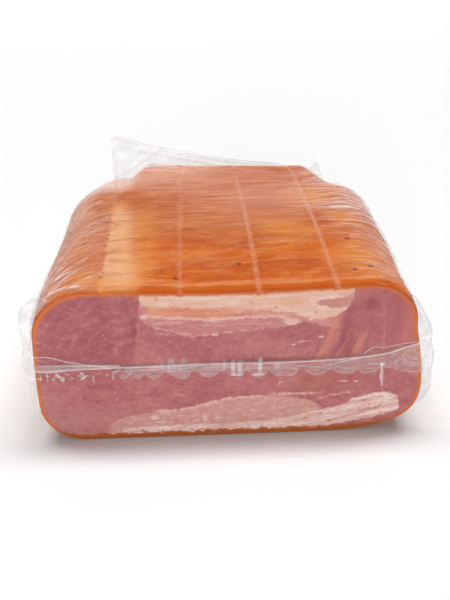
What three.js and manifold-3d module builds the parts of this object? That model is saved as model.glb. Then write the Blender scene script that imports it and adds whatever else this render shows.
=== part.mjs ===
// Half a loaf of smoked pancetta, pressed into a block and sealed in a bag of
// clear shrink film. It lies on its flat underside with the cut face in front.
// Millimetres: X runs across the cut face, Y from the cut face to the back end,
// Z up. The origin is the centre of the underside.
import * as THREE from 'three';
import { mergeVertices } from 'three/addons/utils/BufferGeometryUtils.js';
import Module from 'manifold-3d';

// The loaf
const LENGTH = 176;
const HALF_WIDTH = 100;
const HEIGHT = 92;
const BACK_PLAN_RADIUS = 30;
const BACK_TOP_ROLL = 11;
const BACK_BOTTOM_ROLL = 14;
const BACK_DOME = 1.2;
const LEFT_TAPER = 0.03;
const RIGHT_SPREAD = 0.026;
const RIGHT_TAPER = 0.013;
const TOP_LEAN = 2.6;
const LEFT_STEP = 9.3;
const LEFT_CORNER_DROP = 4;
const RIGHT_STEP = 11;
const RIGHT_CORNER_RISE = 3;
const FACE_DOME = 0.8;
const FACE_SWELL = 1.6;
const FACE_SWELL_LENGTH = 9;
const UNEVENNESS = 0.7;

// The outline of the cut face
const TOP_LEFT_RADIUS = 27.3;
const TOP_RIGHT_RADIUS = 24.5;
const BOTTOM_LEFT_RADIUS = 23;
const LEFT_FLANK = 98.6;
const RIGHT_SHOULDER = 94.2;
const RIGHT_BULGE = 101.5;
const RIGHT_BULGE_HEIGHT = 28;
const UNDERSIDE_RIGHT_END = 51;
const REST_LEFT = -70;
const REST_RIGHT = 46;
const REST_SIDE_LIFT = 0.05;
const UNDERSIDE_LIFT = 0.35;
const LIFTED_CORNER_X = 91;
const LIFTED_CORNER_Z = 8;
const TOP_SAG = 1.5;
const TOP_RISE = 0.5;
const LOW_LEFT_REACH = HALF_WIDTH + 0.5;

// The marks that the smoking rack left along the top
const RACK_SPACING = 38.5;
const RACK_FIRST = -63.5;
const RACK_COUNT = 4;
const RACK_HALF_WIDTH = 1.7;
const RACK_DEPTH = 0.7;

// The film bag
const FILM = 1.1;
const FILM_CLEARANCE = 0.45;
const SEAM_HEIGHT = 49.5;
const SEAM_CLIMB = 9.6;
const SEAM_DIP = 2;
const SEAM_BEAD = 1.5;
const REAR_SEAM_HEIGHT = 48;
const BAND_PROUD = 0.95;
const BAND_LOW = 40.6;
const BAND_ABOVE = 2.6;
const BAND_LEFT_RISE = 6;
const SCALLOP = 1.4;
const SIDE_PLEAT_HEIGHT = 78;
const SIDE_PLEAT = 1.7;
const EAR_ROOT = 5.2;
const EAR_ROOT_LENGTH = 16;
const FLAP_LEFT = -72;
const FLAP_RIGHT = 77;
const FLAP_CORNER_HEIGHT = 110;
const FLAP_EDGE_HEIGHT = 79;
const FLAP_FALL = 1.72;
const FLAP_STAND_OFF = 5.5;

const FRONT = -LENGTH / 2;

const wasm = await Module();
wasm.setup();

const smooth = (value, from, to) => THREE.MathUtils.smoothstep(value, from, to);

// Turns a closed geometry into a solid for joining and cutting.
function toSolid(geometry) {
  const bare = geometry.clone();
  bare.deleteAttribute('normal');
  bare.deleteAttribute('uv');
  const welded = mergeVertices(bare, 1e-4);
  const vertProperties = new Float32Array(welded.attributes.position.array);
  const triVerts = new Uint32Array(welded.index.array);
  return new wasm.Manifold(new wasm.Mesh({ numProp: 3, vertProperties, triVerts }));
}

function toGeometry(solid) {
  const mesh = solid.getMesh();
  const geometry = new THREE.BufferGeometry();
  geometry.setAttribute('position', new THREE.BufferAttribute(mesh.vertProperties, 3));
  geometry.setIndex(new THREE.BufferAttribute(mesh.triVerts, 1));
  geometry.computeVertexNormals();
  return geometry;
}

// A mesh from points and triangles, turned inside out if its volume is negative.
function closedGeometry(points, triangles) {
  let volume = 0;
  for (const [a, b, c] of triangles) {
    volume += points[a].dot(new THREE.Vector3().crossVectors(points[b], points[c]));
  }
  const facing = volume > 0 ? triangles : triangles.map(([a, b, c]) => [a, c, b]);
  const geometry = new THREE.BufferGeometry();
  geometry.setFromPoints(points);
  geometry.setIndex(facing.flat());
  geometry.computeVertexNormals();
  return geometry;
}

// The outline of the cut face, as points (x, z) in order: rounded top corners, a left
// flank that bulges a little, a right flank that leans out to a low bulge, a bottom
// right corner that lifts off the table, and a flat underside.
function faceOutline() {
  const points = [];
  const add = (curve, steps) => points.push(...curve.getSpacedPoints(steps).slice(0, -1));
  const arc = (x, z, radius, from, to) => {
    return new THREE.EllipseCurve(x, z, radius, radius, from, to, true);
  };
  const bend = (...numbers) => {
    const at = (index) => new THREE.Vector2(numbers[index], numbers[index + 1]);
    return new THREE.CubicBezierCurve(at(0), at(2), at(4), at(6));
  };
  const topLeft = -LEFT_FLANK + TOP_LEFT_RADIUS;
  const topRight = RIGHT_SHOULDER - TOP_RIGHT_RADIUS;
  const rightTop = HEIGHT + TOP_RISE;

  // Top, from left to right, with a point at both edges and the middle of each rack mark
  const stations = [];
  for (let x = topLeft; x < topRight - 3; x += 9) {
    stations.push(x);
  }
  const marks = [];
  for (let index = 0; index < RACK_COUNT; index += 1) {
    const middle = RACK_FIRST + index * RACK_SPACING;
    marks.push(middle - RACK_HALF_WIDTH, middle, middle + RACK_HALF_WIDTH);
  }
  const clear = stations.filter((x) => marks.every((mark) => Math.abs(mark - x) > 2.5));
  const crosswise = [...clear, ...marks].sort((a, b) => a - b);
  for (const x of crosswise) {
    const share = (x - topLeft) / (topRight - topLeft);
    const sag = TOP_SAG * Math.sin(Math.PI * share) ** 2;
    points.push(new THREE.Vector2(x, HEIGHT + TOP_RISE * share - sag));
  }
  add(arc(topRight, rightTop - TOP_RIGHT_RADIUS, TOP_RIGHT_RADIUS, Math.PI / 2, 0), 7);
  const bulge = [RIGHT_BULGE, RIGHT_BULGE_HEIGHT];
  const shoulder = rightTop - TOP_RIGHT_RADIUS;
  add(bend(RIGHT_SHOULDER, shoulder, RIGHT_SHOULDER + 2, 57, RIGHT_BULGE, 42, ...bulge), 5);
  const lifted = [LIFTED_CORNER_X, LIFTED_CORNER_Z];
  add(bend(...bulge, RIGHT_BULGE, 19, 98.5, 12, ...lifted), 5);
  add(bend(...lifted, 80, 2.5, 68, 0, UNDERSIDE_RIGHT_END, 0), 4);
  const bottomLeft = BOTTOM_LEFT_RADIUS - LOW_LEFT_REACH;
  points.push(new THREE.Vector2(UNDERSIDE_RIGHT_END, 0));
  const restSteps = 6;
  for (let step = 0; step <= restSteps; step += 1) {
    points.push(new THREE.Vector2(THREE.MathUtils.lerp(REST_RIGHT, REST_LEFT, step / restSteps), 0));
  }
  add(arc(bottomLeft, BOTTOM_LEFT_RADIUS, BOTTOM_LEFT_RADIUS, -Math.PI / 2, -Math.PI), 7);
  const flankTop = HEIGHT - TOP_LEFT_RADIUS;
  const low = [-LOW_LEFT_REACH, BOTTOM_LEFT_RADIUS];
  add(bend(...low, -LOW_LEFT_REACH, 38, -LEFT_FLANK - 1, 52, -LEFT_FLANK, flankTop), 5);
  add(arc(topLeft, flankTop, TOP_LEFT_RADIUS, Math.PI, Math.PI / 2), 8);
  return points;
}

const OUTLINE = faceOutline();
const OUTLINE_COUNT = OUTLINE.length;

function outlineNormal(index) {
  const before = OUTLINE[(index + OUTLINE_COUNT - 1) % OUTLINE_COUNT];
  const after = OUTLINE[(index + 1) % OUTLINE_COUNT];
  return new THREE.Vector2(before.y - after.y, after.x - before.x).normalize();
}

// How much wider than the cut face the loaf is at a distance behind it: the slices
// nearest the knife shrink a little.
function faceSwell(distance) {
  const share = Math.min(distance / FACE_SWELL_LENGTH, 1);
  return FACE_SWELL * Math.sqrt(1 - (1 - share) ** 2);
}

// A quarter-circle roll over the last stretch before the back end.
function backRoll(distance, radius) {
  const into = Math.max(distance - (LENGTH - radius), 0);
  return radius - Math.sqrt(Math.max(radius ** 2 - into ** 2, 0));
}

// How wide the left (-1) or right (1) half is, as a share of its width at the face: the
// left narrows all the way, the right is widest behind the face and then narrows.
function widthShare(side, distance) {
  const left = -LEFT_TAPER * smooth(distance, 44, 158.4);
  const right = RIGHT_SPREAD * smooth(distance, 12, 60) - RIGHT_TAPER * smooth(distance, 62, 110);
  const taper = 1 + (side < 0 ? left : right);
  return taper * (1 - backRoll(distance, BACK_PLAN_RADIUS) / HALF_WIDTH);
}

// Towards the back the middle of the top stands as a plateau above both shoulders, and
// leans down a little to the right.
function shoulderDrop(x, distance) {
  const left = LEFT_STEP * smooth(-x, 51, 66) + LEFT_CORNER_DROP * smooth(-x, 76, 98);
  const right = RIGHT_STEP * smooth(x, 61, 79) - RIGHT_CORNER_RISE * smooth(x, 80, 95);
  const lean = TOP_LEAN * smooth(x, 0, 60) * smooth(distance, 60, 160);
  return left * smooth(distance, 115, 163) + right * smooth(distance, 128, 163) + lean;
}

function unevenness(x, z, distance) {
  const wave = Math.sin(x / 27 + distance / 38) + Math.sin(distance / 21 - x / 44 + z / 17);
  const fade = smooth(z, 8, 30) * smooth(distance, 4, 30) * smooth(LENGTH - distance, 2, 25);
  return UNEVENNESS * wave * fade;
}

function rackGroove(x, z) {
  const nearest = Math.round((x - RACK_FIRST) / RACK_SPACING);
  const offset = Math.abs(x - RACK_FIRST - nearest * RACK_SPACING);
  const onTop = z > HEIGHT - 5 && nearest >= 0 && nearest < RACK_COUNT;
  return onTop ? RACK_DEPTH * Math.max(1 - offset / RACK_HALF_WIDTH, 0) : 0;
}

// How far the underside stands off the table. The loaf rests on a flat patch with four
// corners. Its sides lift a hair between the corners, and the skin beyond it lifts more.
function undersideLift(x, distance) {
  const front = FACE_SWELL_LENGTH;
  const back = LENGTH - BACK_PLAN_RADIUS;
  if (x < REST_LEFT || x > REST_RIGHT || distance < front || distance > back) {
    return UNDERSIDE_LIFT;
  }
  const onSide = x === REST_LEFT || x === REST_RIGHT;
  const onEnd = distance === front || distance === back;
  return onSide === onEnd ? 0 : REST_SIDE_LIFT;
}

// The point of the loaf's skin on one line of the outline, at a distance behind the face.
function skinPoint(index, distance) {
  const spot = OUTLINE[index];
  const normal = outlineNormal(index);
  const out = faceSwell(distance) + unevenness(spot.x, spot.y, distance);
  const lift = spot.y < 1 ? 0 : 1;
  const x = (spot.x + normal.x * out) * widthShare(Math.sign(spot.x), distance);
  const wide = spot.y + normal.y * out * lift - rackGroove(spot.x, spot.y);
  const bottom = backRoll(distance, BACK_BOTTOM_ROLL);
  const top = HEIGHT - backRoll(distance, BACK_TOP_ROLL) - shoulderDrop(spot.x, distance);
  const rise = spot.y < 2 ? undersideLift(spot.x, distance) : 0;
  const z = rise + bottom + (Math.max(wide, 0) / HEIGHT) * (top - bottom);
  return new THREE.Vector3(x, FRONT + distance, z);
}

// How far the cut face stands in front of its edge, at a share of the way out from its
// middle: it is slightly domed, and the big muscle at the upper left stands out.
function faceRelief(x, z, share) {
  const dome = FACE_DOME * (1 - share ** 2);
  const muscle = 0.5 * Math.exp(-(((x + 62) / 18) ** 2) - ((z - 72) / 12) ** 2);
  return dome + muscle * smooth(1 - share, 0, 0.25);
}

// The distances behind the face at which the loaf has a ring of points.
function ringDistances() {
  const distances = [0, 0.7, 2.4, 5.2, FACE_SWELL_LENGTH];
  const straightEnd = LENGTH - BACK_PLAN_RADIUS;
  const straightSteps = 9;
  for (let step = 1; step <= straightSteps; step += 1) {
    distances.push(THREE.MathUtils.lerp(FACE_SWELL_LENGTH, straightEnd, step / straightSteps));
  }
  const rollSteps = 9;
  for (let step = 1; step <= rollSteps; step += 1) {
    const angle = (Math.PI / 2) * (step / rollSteps);
    distances.push(straightEnd + BACK_PLAN_RADIUS * Math.sin(angle));
  }
  return distances;
}

function loafGeometry() {
  const points = [];
  const triangles = [];
  const rings = [];
  const addRing = (ring) => {
    rings.push(ring.map((point) => points.push(point) - 1));
  };
  const centre = new THREE.Vector3(0, FRONT, HEIGHT / 2);

  // From the middle of the cut face out to its edge
  for (const share of [0.2, 0.4, 0.6, 0.78, 0.92]) {
    addRing(OUTLINE.map((_, index) => {
      const point = centre.clone().lerp(skinPoint(index, 0), share);
      point.y -= faceRelief(point.x, point.z, share);
      return point;
    }));
  }
  for (const distance of ringDistances()) {
    addRing(OUTLINE.map((_, index) => skinPoint(index, distance)));
  }
  const backCentre = new THREE.Vector3(0, -FRONT, HEIGHT / 2);
  for (const share of [0.75, 0.45, 0.2]) {
    addRing(OUTLINE.map((_, index) => {
      const point = backCentre.clone().lerp(skinPoint(index, LENGTH), share);
      point.y += BACK_DOME * (1 - share ** 2);
      return point;
    }));
  }
  for (let row = 0; row < rings.length - 1; row += 1) {
    for (let index = 0; index < OUTLINE_COUNT; index += 1) {
      const next = (index + 1) % OUTLINE_COUNT;
      const [a, b] = [rings[row][index], rings[row][next]];
      const [c, d] = [rings[row + 1][index], rings[row + 1][next]];
      triangles.push([a, b, c], [b, d, c]);
    }
  }
  const faceTop = faceRelief(0, HEIGHT / 2, 0);
  const frontTip = points.push(new THREE.Vector3(0, FRONT - faceTop, HEIGHT / 2)) - 1;
  const backTip = points.push(new THREE.Vector3(0, -FRONT + BACK_DOME, HEIGHT / 2)) - 1;
  const last = rings[rings.length - 1];
  for (let index = 0; index < OUTLINE_COUNT; index += 1) {
    const next = (index + 1) % OUTLINE_COUNT;
    triangles.push([frontTip, rings[0][next], rings[0][index]]);
    triangles.push([backTip, last[index], last[next]]);
  }
  return closedGeometry(points, triangles);
}

// The same shape with every point pushed out along its normal.
function pushedOut(geometry, amount) {
  const swollen = geometry.clone();
  const position = swollen.attributes.position;
  const normal = swollen.attributes.normal;
  for (let index = 0; index < position.count; index += 1) {
    const x = position.getX(index) + normal.getX(index) * amount;
    const y = position.getY(index) + normal.getY(index) * amount;
    const z = position.getZ(index) + normal.getZ(index) * amount;
    position.setXYZ(index, x, y, z);
  }
  return swollen;
}

// A thick sheet: two grids of points, near(s, t) and far(s, t), and the rim between them.
function sheetSolid(columns, rows, near, far) {
  const points = [];
  const grids = [near, far].map((side) => {
    const grid = [];
    for (let column = 0; column <= columns; column += 1) {
      const line = [];
      for (let row = 0; row <= rows; row += 1) {
        line.push(points.push(side(column / columns, row / rows)) - 1);
      }
      grid.push(line);
    }
    return grid;
  });
  const triangles = [];
  const quad = (a, b, c, d) => triangles.push([a, b, c], [a, c, d]);
  const [front, back] = grids;
  for (let column = 0; column < columns; column += 1) {
    for (let row = 0; row < rows; row += 1) {
      const [i, j] = [column + 1, row + 1];
      quad(front[column][row], front[i][row], front[i][j], front[column][j]);
      quad(back[column][row], back[column][j], back[i][j], back[i][row]);
    }
    quad(front[column][0], back[column][0], back[column + 1][0], front[column + 1][0]);
    quad(front[column][rows], front[column + 1][rows], back[column + 1][rows], back[column][rows]);
  }
  for (let row = 0; row < rows; row += 1) {
    quad(front[0][row], front[0][row + 1], back[0][row + 1], back[0][row]);
    quad(front[columns][row], back[columns][row], back[columns][row + 1], front[columns][row + 1]);
  }
  return toSolid(closedGeometry(points, triangles));
}

// The loaf's reach to one side at a height: where its outline crosses that height.
function sideReach(side, height, distance) {
  let reach = 0;
  for (let index = 0; index < OUTLINE_COUNT; index += 1) {
    const a = OUTLINE[index];
    const b = OUTLINE[(index + 1) % OUTLINE_COUNT];
    const crosses = (a.y - height) * (b.y - height) <= 0 && Math.abs(a.y - b.y) > 1e-6;
    if (crosses && Math.sign(a.x + b.x) === side) {
      const share = (height - a.y) / (b.y - a.y);
      reach = Math.max(reach, Math.abs(a.x + (b.x - a.x) * share));
    }
  }
  const out = faceSwell(distance) + unevenness(side * reach, height, distance);
  return (reach + out) * widthShare(side, distance);
}

// The seam dips a little to the left end and climbs to the right end.
function seamHeight(x) {
  return SEAM_HEIGHT + SEAM_CLIMB * smooth(x, 64, 102) - SEAM_DIP * smooth(-x, 40, 100);
}

// One closed ridge of film round the loaf: the weld across the cut face, a pleat along
// each side, highest at the front corners, and the weld across the back.
function ridgeStations() {
  const stations = [];
  const add = (x, distance, z, outX, outY, height) => {
    const at = new THREE.Vector3(x, FRONT + distance, z);
    stations.push({ at, out: new THREE.Vector3(outX, outY, 0).normalize(), height });
  };
  const sidePleat = (side, distance) => {
    const climb = smooth(distance, 0, 42) * (1 - smooth(distance, 105, 168));
    const front = seamHeight(side * HALF_WIDTH);
    const base = THREE.MathUtils.lerp(front, REAR_SEAM_HEIGHT, smooth(distance, 105, 168));
    return THREE.MathUtils.lerp(base, SIDE_PLEAT_HEIGHT, climb);
  };
  const pleatWidth = (distance) => SIDE_PLEAT + EAR_ROOT * Math.exp(-distance / EAR_ROOT_LENGTH);
  const sideStation = (side, distance, outX, outY) => {
    const z = sidePleat(side, distance);
    add(side * sideReach(side, z, distance), distance, z, outX, outY, pleatWidth(distance));
  };
  const straight = [1.5, 6, 12, 20, 30, 42, 56, 72, 90, 108, 122];
  const rollSteps = 6;
  const straightEnd = LENGTH - BACK_PLAN_RADIUS;
  const side = (sign) => {
    const run = straight.map((distance) => () => sideStation(sign, distance, sign, 0));
    for (let step = 0; step < rollSteps; step += 1) {
      const angle = (Math.PI / 2) * (step / rollSteps);
      const distance = straightEnd + BACK_PLAN_RADIUS * Math.sin(angle);
      run.push(() => sideStation(sign, distance, sign * Math.cos(angle), Math.sin(angle)));
    }
    return run;
  };
  const frontSteps = 16;
  for (let step = 0; step <= frontSteps; step += 1) {
    const x = THREE.MathUtils.lerp(-98, 98, step / frontSteps);
    add(x, -faceRelief(x, seamHeight(x), Math.abs(x) / HALF_WIDTH), seamHeight(x), 0, -1, SEAM_BEAD);
  }
  add(HALF_WIDTH, 0, seamHeight(HALF_WIDTH), 0.94, -0.34, EAR_ROOT);
  side(1).forEach((place) => place());
  const backReach = 50;
  const backSteps = 6;
  for (let step = 0; step <= backSteps; step += 1) {
    const x = THREE.MathUtils.lerp(backReach, -backReach, step / backSteps);
    add(x, LENGTH + BACK_DOME, REAR_SEAM_HEIGHT, 0, 1, SEAM_BEAD);
  }
  side(-1).reverse().forEach((place) => place());
  add(-HALF_WIDTH, 0, seamHeight(-HALF_WIDTH), -0.94, -0.34, EAR_ROOT);
  return stations;
}

function ridgeSolid() {
  const stations = ridgeStations();
  const points = [];
  const triangles = [];
  for (const { at, out, height } of stations) {
    const corner = (reach, rise) => {
      points.push(at.clone().addScaledVector(out, reach).setZ(at.z + rise));
    };
    corner(-2, -FILM * 0.75);
    corner(-2, FILM * 0.75);
    corner(height, FILM * 0.45);
    corner(height, -FILM * 0.45);
  }
  const corners = 4;
  for (let row = 0; row < stations.length; row += 1) {
    const ahead = (row + 1) % stations.length;
    for (let corner = 0; corner < corners; corner += 1) {
      const turn = (corner + 1) % corners;
      const [a, b] = [row * corners + corner, row * corners + turn];
      const [c, d] = [ahead * corners + corner, ahead * corners + turn];
      triangles.push([a, b, d], [a, d, c]);
    }
  }
  return toSolid(closedGeometry(points, triangles));
}

// The flat band of doubled film that lies on a cut end below and above the weld, with a
// scalloped lower edge. facing is -1 on the cut face and 1 on the back.
function bandSolid(facing, left, right, columns) {
  const edgeDistance = facing < 0 ? 0 : LENGTH;
  const place = (s, t, proud) => {
    const x = THREE.MathUtils.lerp(left, right, s);
    const seam = facing < 0 ? seamHeight(x) : REAR_SEAM_HEIGHT;
    const scallops = SCALLOP * Math.sin(x / 4.6) * Math.sin(x / 11 + 1);
    const low = BAND_LOW - scallops;
    const high = seam + BAND_ABOVE + BAND_LEFT_RISE * smooth(-x, 68, 94);
    const z = THREE.MathUtils.lerp(low, high, t);
    const share = Math.abs(x) / HALF_WIDTH;
    const relief = facing < 0 ? faceRelief(x, z, share) : BACK_DOME * (1 - share ** 2);
    const y = FRONT + edgeDistance + facing * (relief + proud);
    return new THREE.Vector3(x, y, z);
  };
  const pucker = (s, t) => 0.25 * Math.sin(s * 61) * Math.sin(t * Math.PI);
  const outer = (s, t) => place(s, t, FILM_CLEARANCE + BAND_PROUD + pucker(s, t));
  return sheetSolid(columns, 4, outer, (s, t) => place(s, t, -2));
}

// A bag corner that stands out beside the cut face: from inside the loaf's edge to an
// outer edge through the given points (x, z), with pleats that fan out from the weld.
function earSolid(side, edge) {
  const curve = new THREE.CatmullRomCurve3(edge.map(([x, z]) => new THREE.Vector3(x, 0, z)));
  const middle = new THREE.Vector3(side * 66, 0, 50);
  const rootDepth = 15;
  const place = (s, t, thickness) => {
    const tip = curve.getPoint(s);
    const inward = middle.clone().sub(tip).setLength(rootDepth);
    const point = tip.clone().addScaledVector(inward, 1 - t);
    const pleat = 0.9 * Math.sin(s * 27) * t ** 2;
    point.y = FRONT + 0.9 + 1.4 * t ** 3 + pleat + thickness;
    return point;
  };
  const near = (s, t) => place(s, t, -FILM / 2);
  const far = (s, t) => place(s, t, FILM / 2);
  return sheetSolid(26, 4, near, far);
}

// The sealed tail of the bag: it rises behind the back of the loaf from the rear weld,
// and its left corner stands above the top.
function flapSolid() {
  const width = FLAP_RIGHT - FLAP_LEFT;
  const place = (s, t, thickness) => {
    const x = FLAP_LEFT + width * s;
    const fall = Math.exp(-FLAP_FALL * s);
    const edge = FLAP_EDGE_HEIGHT + (FLAP_CORNER_HEIGHT - FLAP_EDGE_HEIGHT) * fall;
    const rounding = 4 * (Math.max(1 - s / 0.035, 0) ** 2 + Math.max(1 - (1 - s) / 0.035, 0) ** 2);
    const high = edge - rounding - 7 * smooth(s, 0.72, 1);
    const low = REAR_SEAM_HEIGHT - 6 + 22 * (1 - smooth(s, 0, 0.14)) + 14 * smooth(s, 0.86, 1);
    const z = THREE.MathUtils.lerp(low, high, t);
    const fold = 1.3 * Math.sin(x / 13 + z / 9) * t;
    const y = LENGTH + BACK_DOME + 0.9 + FLAP_STAND_OFF * t ** 1.3 + fold + thickness;
    return new THREE.Vector3(x, FRONT + y, z);
  };
  const near = (s, t) => place(s, t, FILM / 2);
  const far = (s, t) => place(s, t, -FILM / 2);
  return sheetSolid(30, 8, near, far);
}

const LEFT_EAR_EDGE = [
  [-89, 92], [-97.8, 88.4], [-103.2, 82.5], [-104.6, 74], [-104.7, 62], [-106, 51],
  [-104.3, 38], [-105.3, 25], [-101, 12], [-93, 8.5],
];
const RIGHT_EAR_EDGE = [
  [87, 90], [94, 82], [99.8, 73], [103.8, 62], [106.8, 51], [107, 40],
  [108, 27], [105.4, 19], [99.5, 13.4], [92, 10],
];

const loaf = loafGeometry();
const insideBag = toSolid(pushedOut(loaf, FILM_CLEARANCE));
const bag = ridgeSolid()
  .add(bandSolid(-1, -99.5, 99.5, 44))
  .add(bandSolid(1, -54, 54, 16))
  .add(earSolid(-1, LEFT_EAR_EDGE))
  .add(earSolid(1, RIGHT_EAR_EDGE))
  .add(flapSolid())
  .subtract(insideBag);
const [wholeBag] = bag.decompose().sort((a, b) => b.volume() - a.volume());

const meat = new THREE.MeshStandardMaterial({ color: 0xd9753a, roughness: 0.45, metalness: 0 });
const film = new THREE.MeshStandardMaterial({
  color: 0xe9ebee,
  roughness: 0.12,
  metalness: 0,
  transparent: true,
  opacity: 0.35,
});

const part = new THREE.Group();

const pancettaMesh = new THREE.Mesh(loaf, meat);
pancettaMesh.name = 'pancetta';
part.add(pancettaMesh);

const bagMesh = new THREE.Mesh(toGeometry(wholeBag), film);
bagMesh.name = 'bag';
part.add(bagMesh);

export default part;
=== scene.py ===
# %% [markdown]
# # Half a loaf of smoked pancetta in a clear shrink bag
# Pancetta like this is a trimmed pork belly, cured, folded, pressed in a mould and
# smoked. The loaf was then cut across, so that its front shows the lean and the fat,
# and shrink-wrapped. Three things make its looks: the smoked rind, the cut face and
# the film. Each gets its own shape and its own finish below.
#
# The script works in millimetres and turns them to metres when it makes a mesh. X runs
# across the cut face, Y from the cut face to the back end, Z up.

# %% Load the solids that the scene is built around
import math

import bpy
import numpy as np
from mathutils import Euler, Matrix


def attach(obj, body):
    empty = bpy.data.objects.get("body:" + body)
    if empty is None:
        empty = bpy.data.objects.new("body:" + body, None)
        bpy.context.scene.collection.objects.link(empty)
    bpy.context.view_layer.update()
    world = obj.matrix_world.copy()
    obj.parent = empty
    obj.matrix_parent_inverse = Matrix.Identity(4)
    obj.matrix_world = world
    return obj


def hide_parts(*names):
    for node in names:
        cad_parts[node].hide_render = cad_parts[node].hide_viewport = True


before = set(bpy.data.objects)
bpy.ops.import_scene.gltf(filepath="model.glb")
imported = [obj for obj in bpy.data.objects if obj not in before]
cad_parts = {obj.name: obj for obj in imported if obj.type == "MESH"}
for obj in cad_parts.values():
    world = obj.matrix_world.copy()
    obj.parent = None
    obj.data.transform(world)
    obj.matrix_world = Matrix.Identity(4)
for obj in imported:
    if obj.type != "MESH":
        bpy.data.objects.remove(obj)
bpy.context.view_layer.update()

# %% [markdown]
# ## Camera
# The photograph looks down on the loaf from the front, close enough for the top to
# taper a lot towards the back. A camera is set by its place, its two angles and its
# lens. The place and angles were worked out from the corners of the cut face, which is
# 200 mm wide and 92 mm high.

# %% Place the camera
CAMERA_PLACE = (-0.0186, -0.3774, 0.2656)
CAMERA_PITCH_DOWN = 31.66
CAMERA_TURN_RIGHT = 3.05
LENS = 42.0

camera_data = bpy.data.cameras.new("camera")
camera_data.lens = LENS
camera_data.sensor_width = 36.0
camera = bpy.data.objects.new("camera", camera_data)
camera.location = CAMERA_PLACE
pitch = math.radians(90.0 - CAMERA_PITCH_DOWN)
camera.rotation_euler = Euler((pitch, 0.0, math.radians(-CAMERA_TURN_RIGHT)))
bpy.context.scene.collection.objects.link(camera)
bpy.context.scene.camera = camera
print("camera at", CAMERA_PLACE)

# %% [markdown]
# ## Small tools
# A smooth step, a bell and a value noise are all the mathematics that the shapes need
# beyond sines. They work on whole arrays, so a surface of a hundred thousand points is
# one call. The meshes are made from a grid of points: rows of points that close round the
# loaf, or sheets with a front and a back.

# %% Smooth step, bell and noise on arrays
MM = 0.001


def smooth(value, start, end):
    """0 before start, 1 after end, and t * t * (3 - 2t) between them."""
    share = np.clip((value - start) / (end - start), 0.0, 1.0)
    return share * share * (3.0 - 2.0 * share)


def bell(offset, half_width):
    """1 in the middle, falling to 1 / e at the half width: exp of minus their share squared."""
    return np.exp(-((offset / half_width) ** 2))


def noise(x, y, seed):
    """Value noise from -1 to 1: each whole-numbered point (x, y) has a random height, and
    the heights of the four points around a place are blended by the smooth step."""
    table = np.random.default_rng(seed).uniform(-1.0, 1.0, 4096)
    x_low, y_low = np.floor(x).astype(int), np.floor(y).astype(int)
    x_share, y_share = smooth(x - x_low, 0.0, 1.0), smooth(y - y_low, 0.0, 1.0)

    def height(i, j):
        return table[((x_low + i) * 157 + (y_low + j) * 911) % 4096]

    near = height(0, 0) * (1 - x_share) + height(1, 0) * x_share
    far = height(0, 1) * (1 - x_share) + height(1, 1) * x_share
    return near * (1 - y_share) + far * y_share


def through(value, points):
    """A smooth line through points (a, b): b at each value of a, by cubic Hermite pieces
    whose slope at a point is that of the line from its left to its right neighbour."""
    known, wanted = np.array(points, float).T
    slope = np.gradient(wanted, known)
    place = np.clip(value, known[0], known[-1])
    left = np.clip(np.searchsorted(known, place) - 1, 0, len(known) - 2)
    width = known[left + 1] - known[left]
    t = (place - known[left]) / width
    start = wanted[left] * (1 + 2 * t) * (1 - t) ** 2 + slope[left] * width * t * (1 - t) ** 2
    end = wanted[left + 1] * t**2 * (3 - 2 * t) - slope[left + 1] * width * t**2 * (1 - t)
    return start + end


def spaced(points, count):
    """Equally spaced places on a smooth line through points."""
    corners = np.array(points, float)
    steps = np.linalg.norm(np.diff(corners, axis=0), axis=1)
    length = np.concatenate([[0.0], np.cumsum(steps)])
    place = np.linspace(0.0, length[-1], count)
    lines = [through(place, np.stack([length, values], axis=-1)) for values in corners.T]
    return np.stack(lines, axis=-1)


# %% Meshes from grids of points
def finish_mesh(name, points, faces, materials):
    """An object whose mesh has these points, given in millimetres, and these faces."""
    mesh = bpy.data.meshes.new(name)
    mesh.from_pydata((points * MM).tolist(), [], faces)
    mesh.polygons.foreach_set("use_smooth", [True] * len(faces))
    for material in materials:
        mesh.materials.append(material)
    mesh.update()
    piece = bpy.data.objects.new(name, mesh)
    bpy.context.scene.collection.objects.link(piece)
    mesh.calc_loop_triangles()
    corners = points[np.array([triangle.vertices for triangle in mesh.loop_triangles])]
    volume = np.einsum("ij,ij->", corners[:, 0], np.cross(corners[:, 1], corners[:, 2])) / 6000
    print(f"{name}: {len(points)} points, {len(faces)} faces, volume {volume:.1f} ml")
    return piece


def closed_rings(name, rings, first_tip, last_tip, materials):
    """A closed mesh from rings of points, with a fan of triangles at each end. The rings
    go clockwise seen from the first one, so that all faces point outwards."""
    rows, columns, _ = rings.shape
    points = np.vstack([rings.reshape(-1, 3), first_tip, last_tip])
    index = np.arange(rows * columns).reshape(rows, columns)
    ahead = np.roll(index, -1, axis=1)
    quads = np.stack([index[:-1], ahead[:-1], ahead[1:], index[1:]], axis=-1).reshape(-1, 4)
    tips = np.full(columns, rows * columns)
    first_fan = np.stack([tips, ahead[0], index[0]], axis=-1)
    last_fan = np.stack([tips + 1, index[-1], ahead[-1]], axis=-1)
    faces = quads.tolist() + first_fan.tolist() + last_fan.tolist()
    return finish_mesh(name, points, faces, materials)


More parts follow.
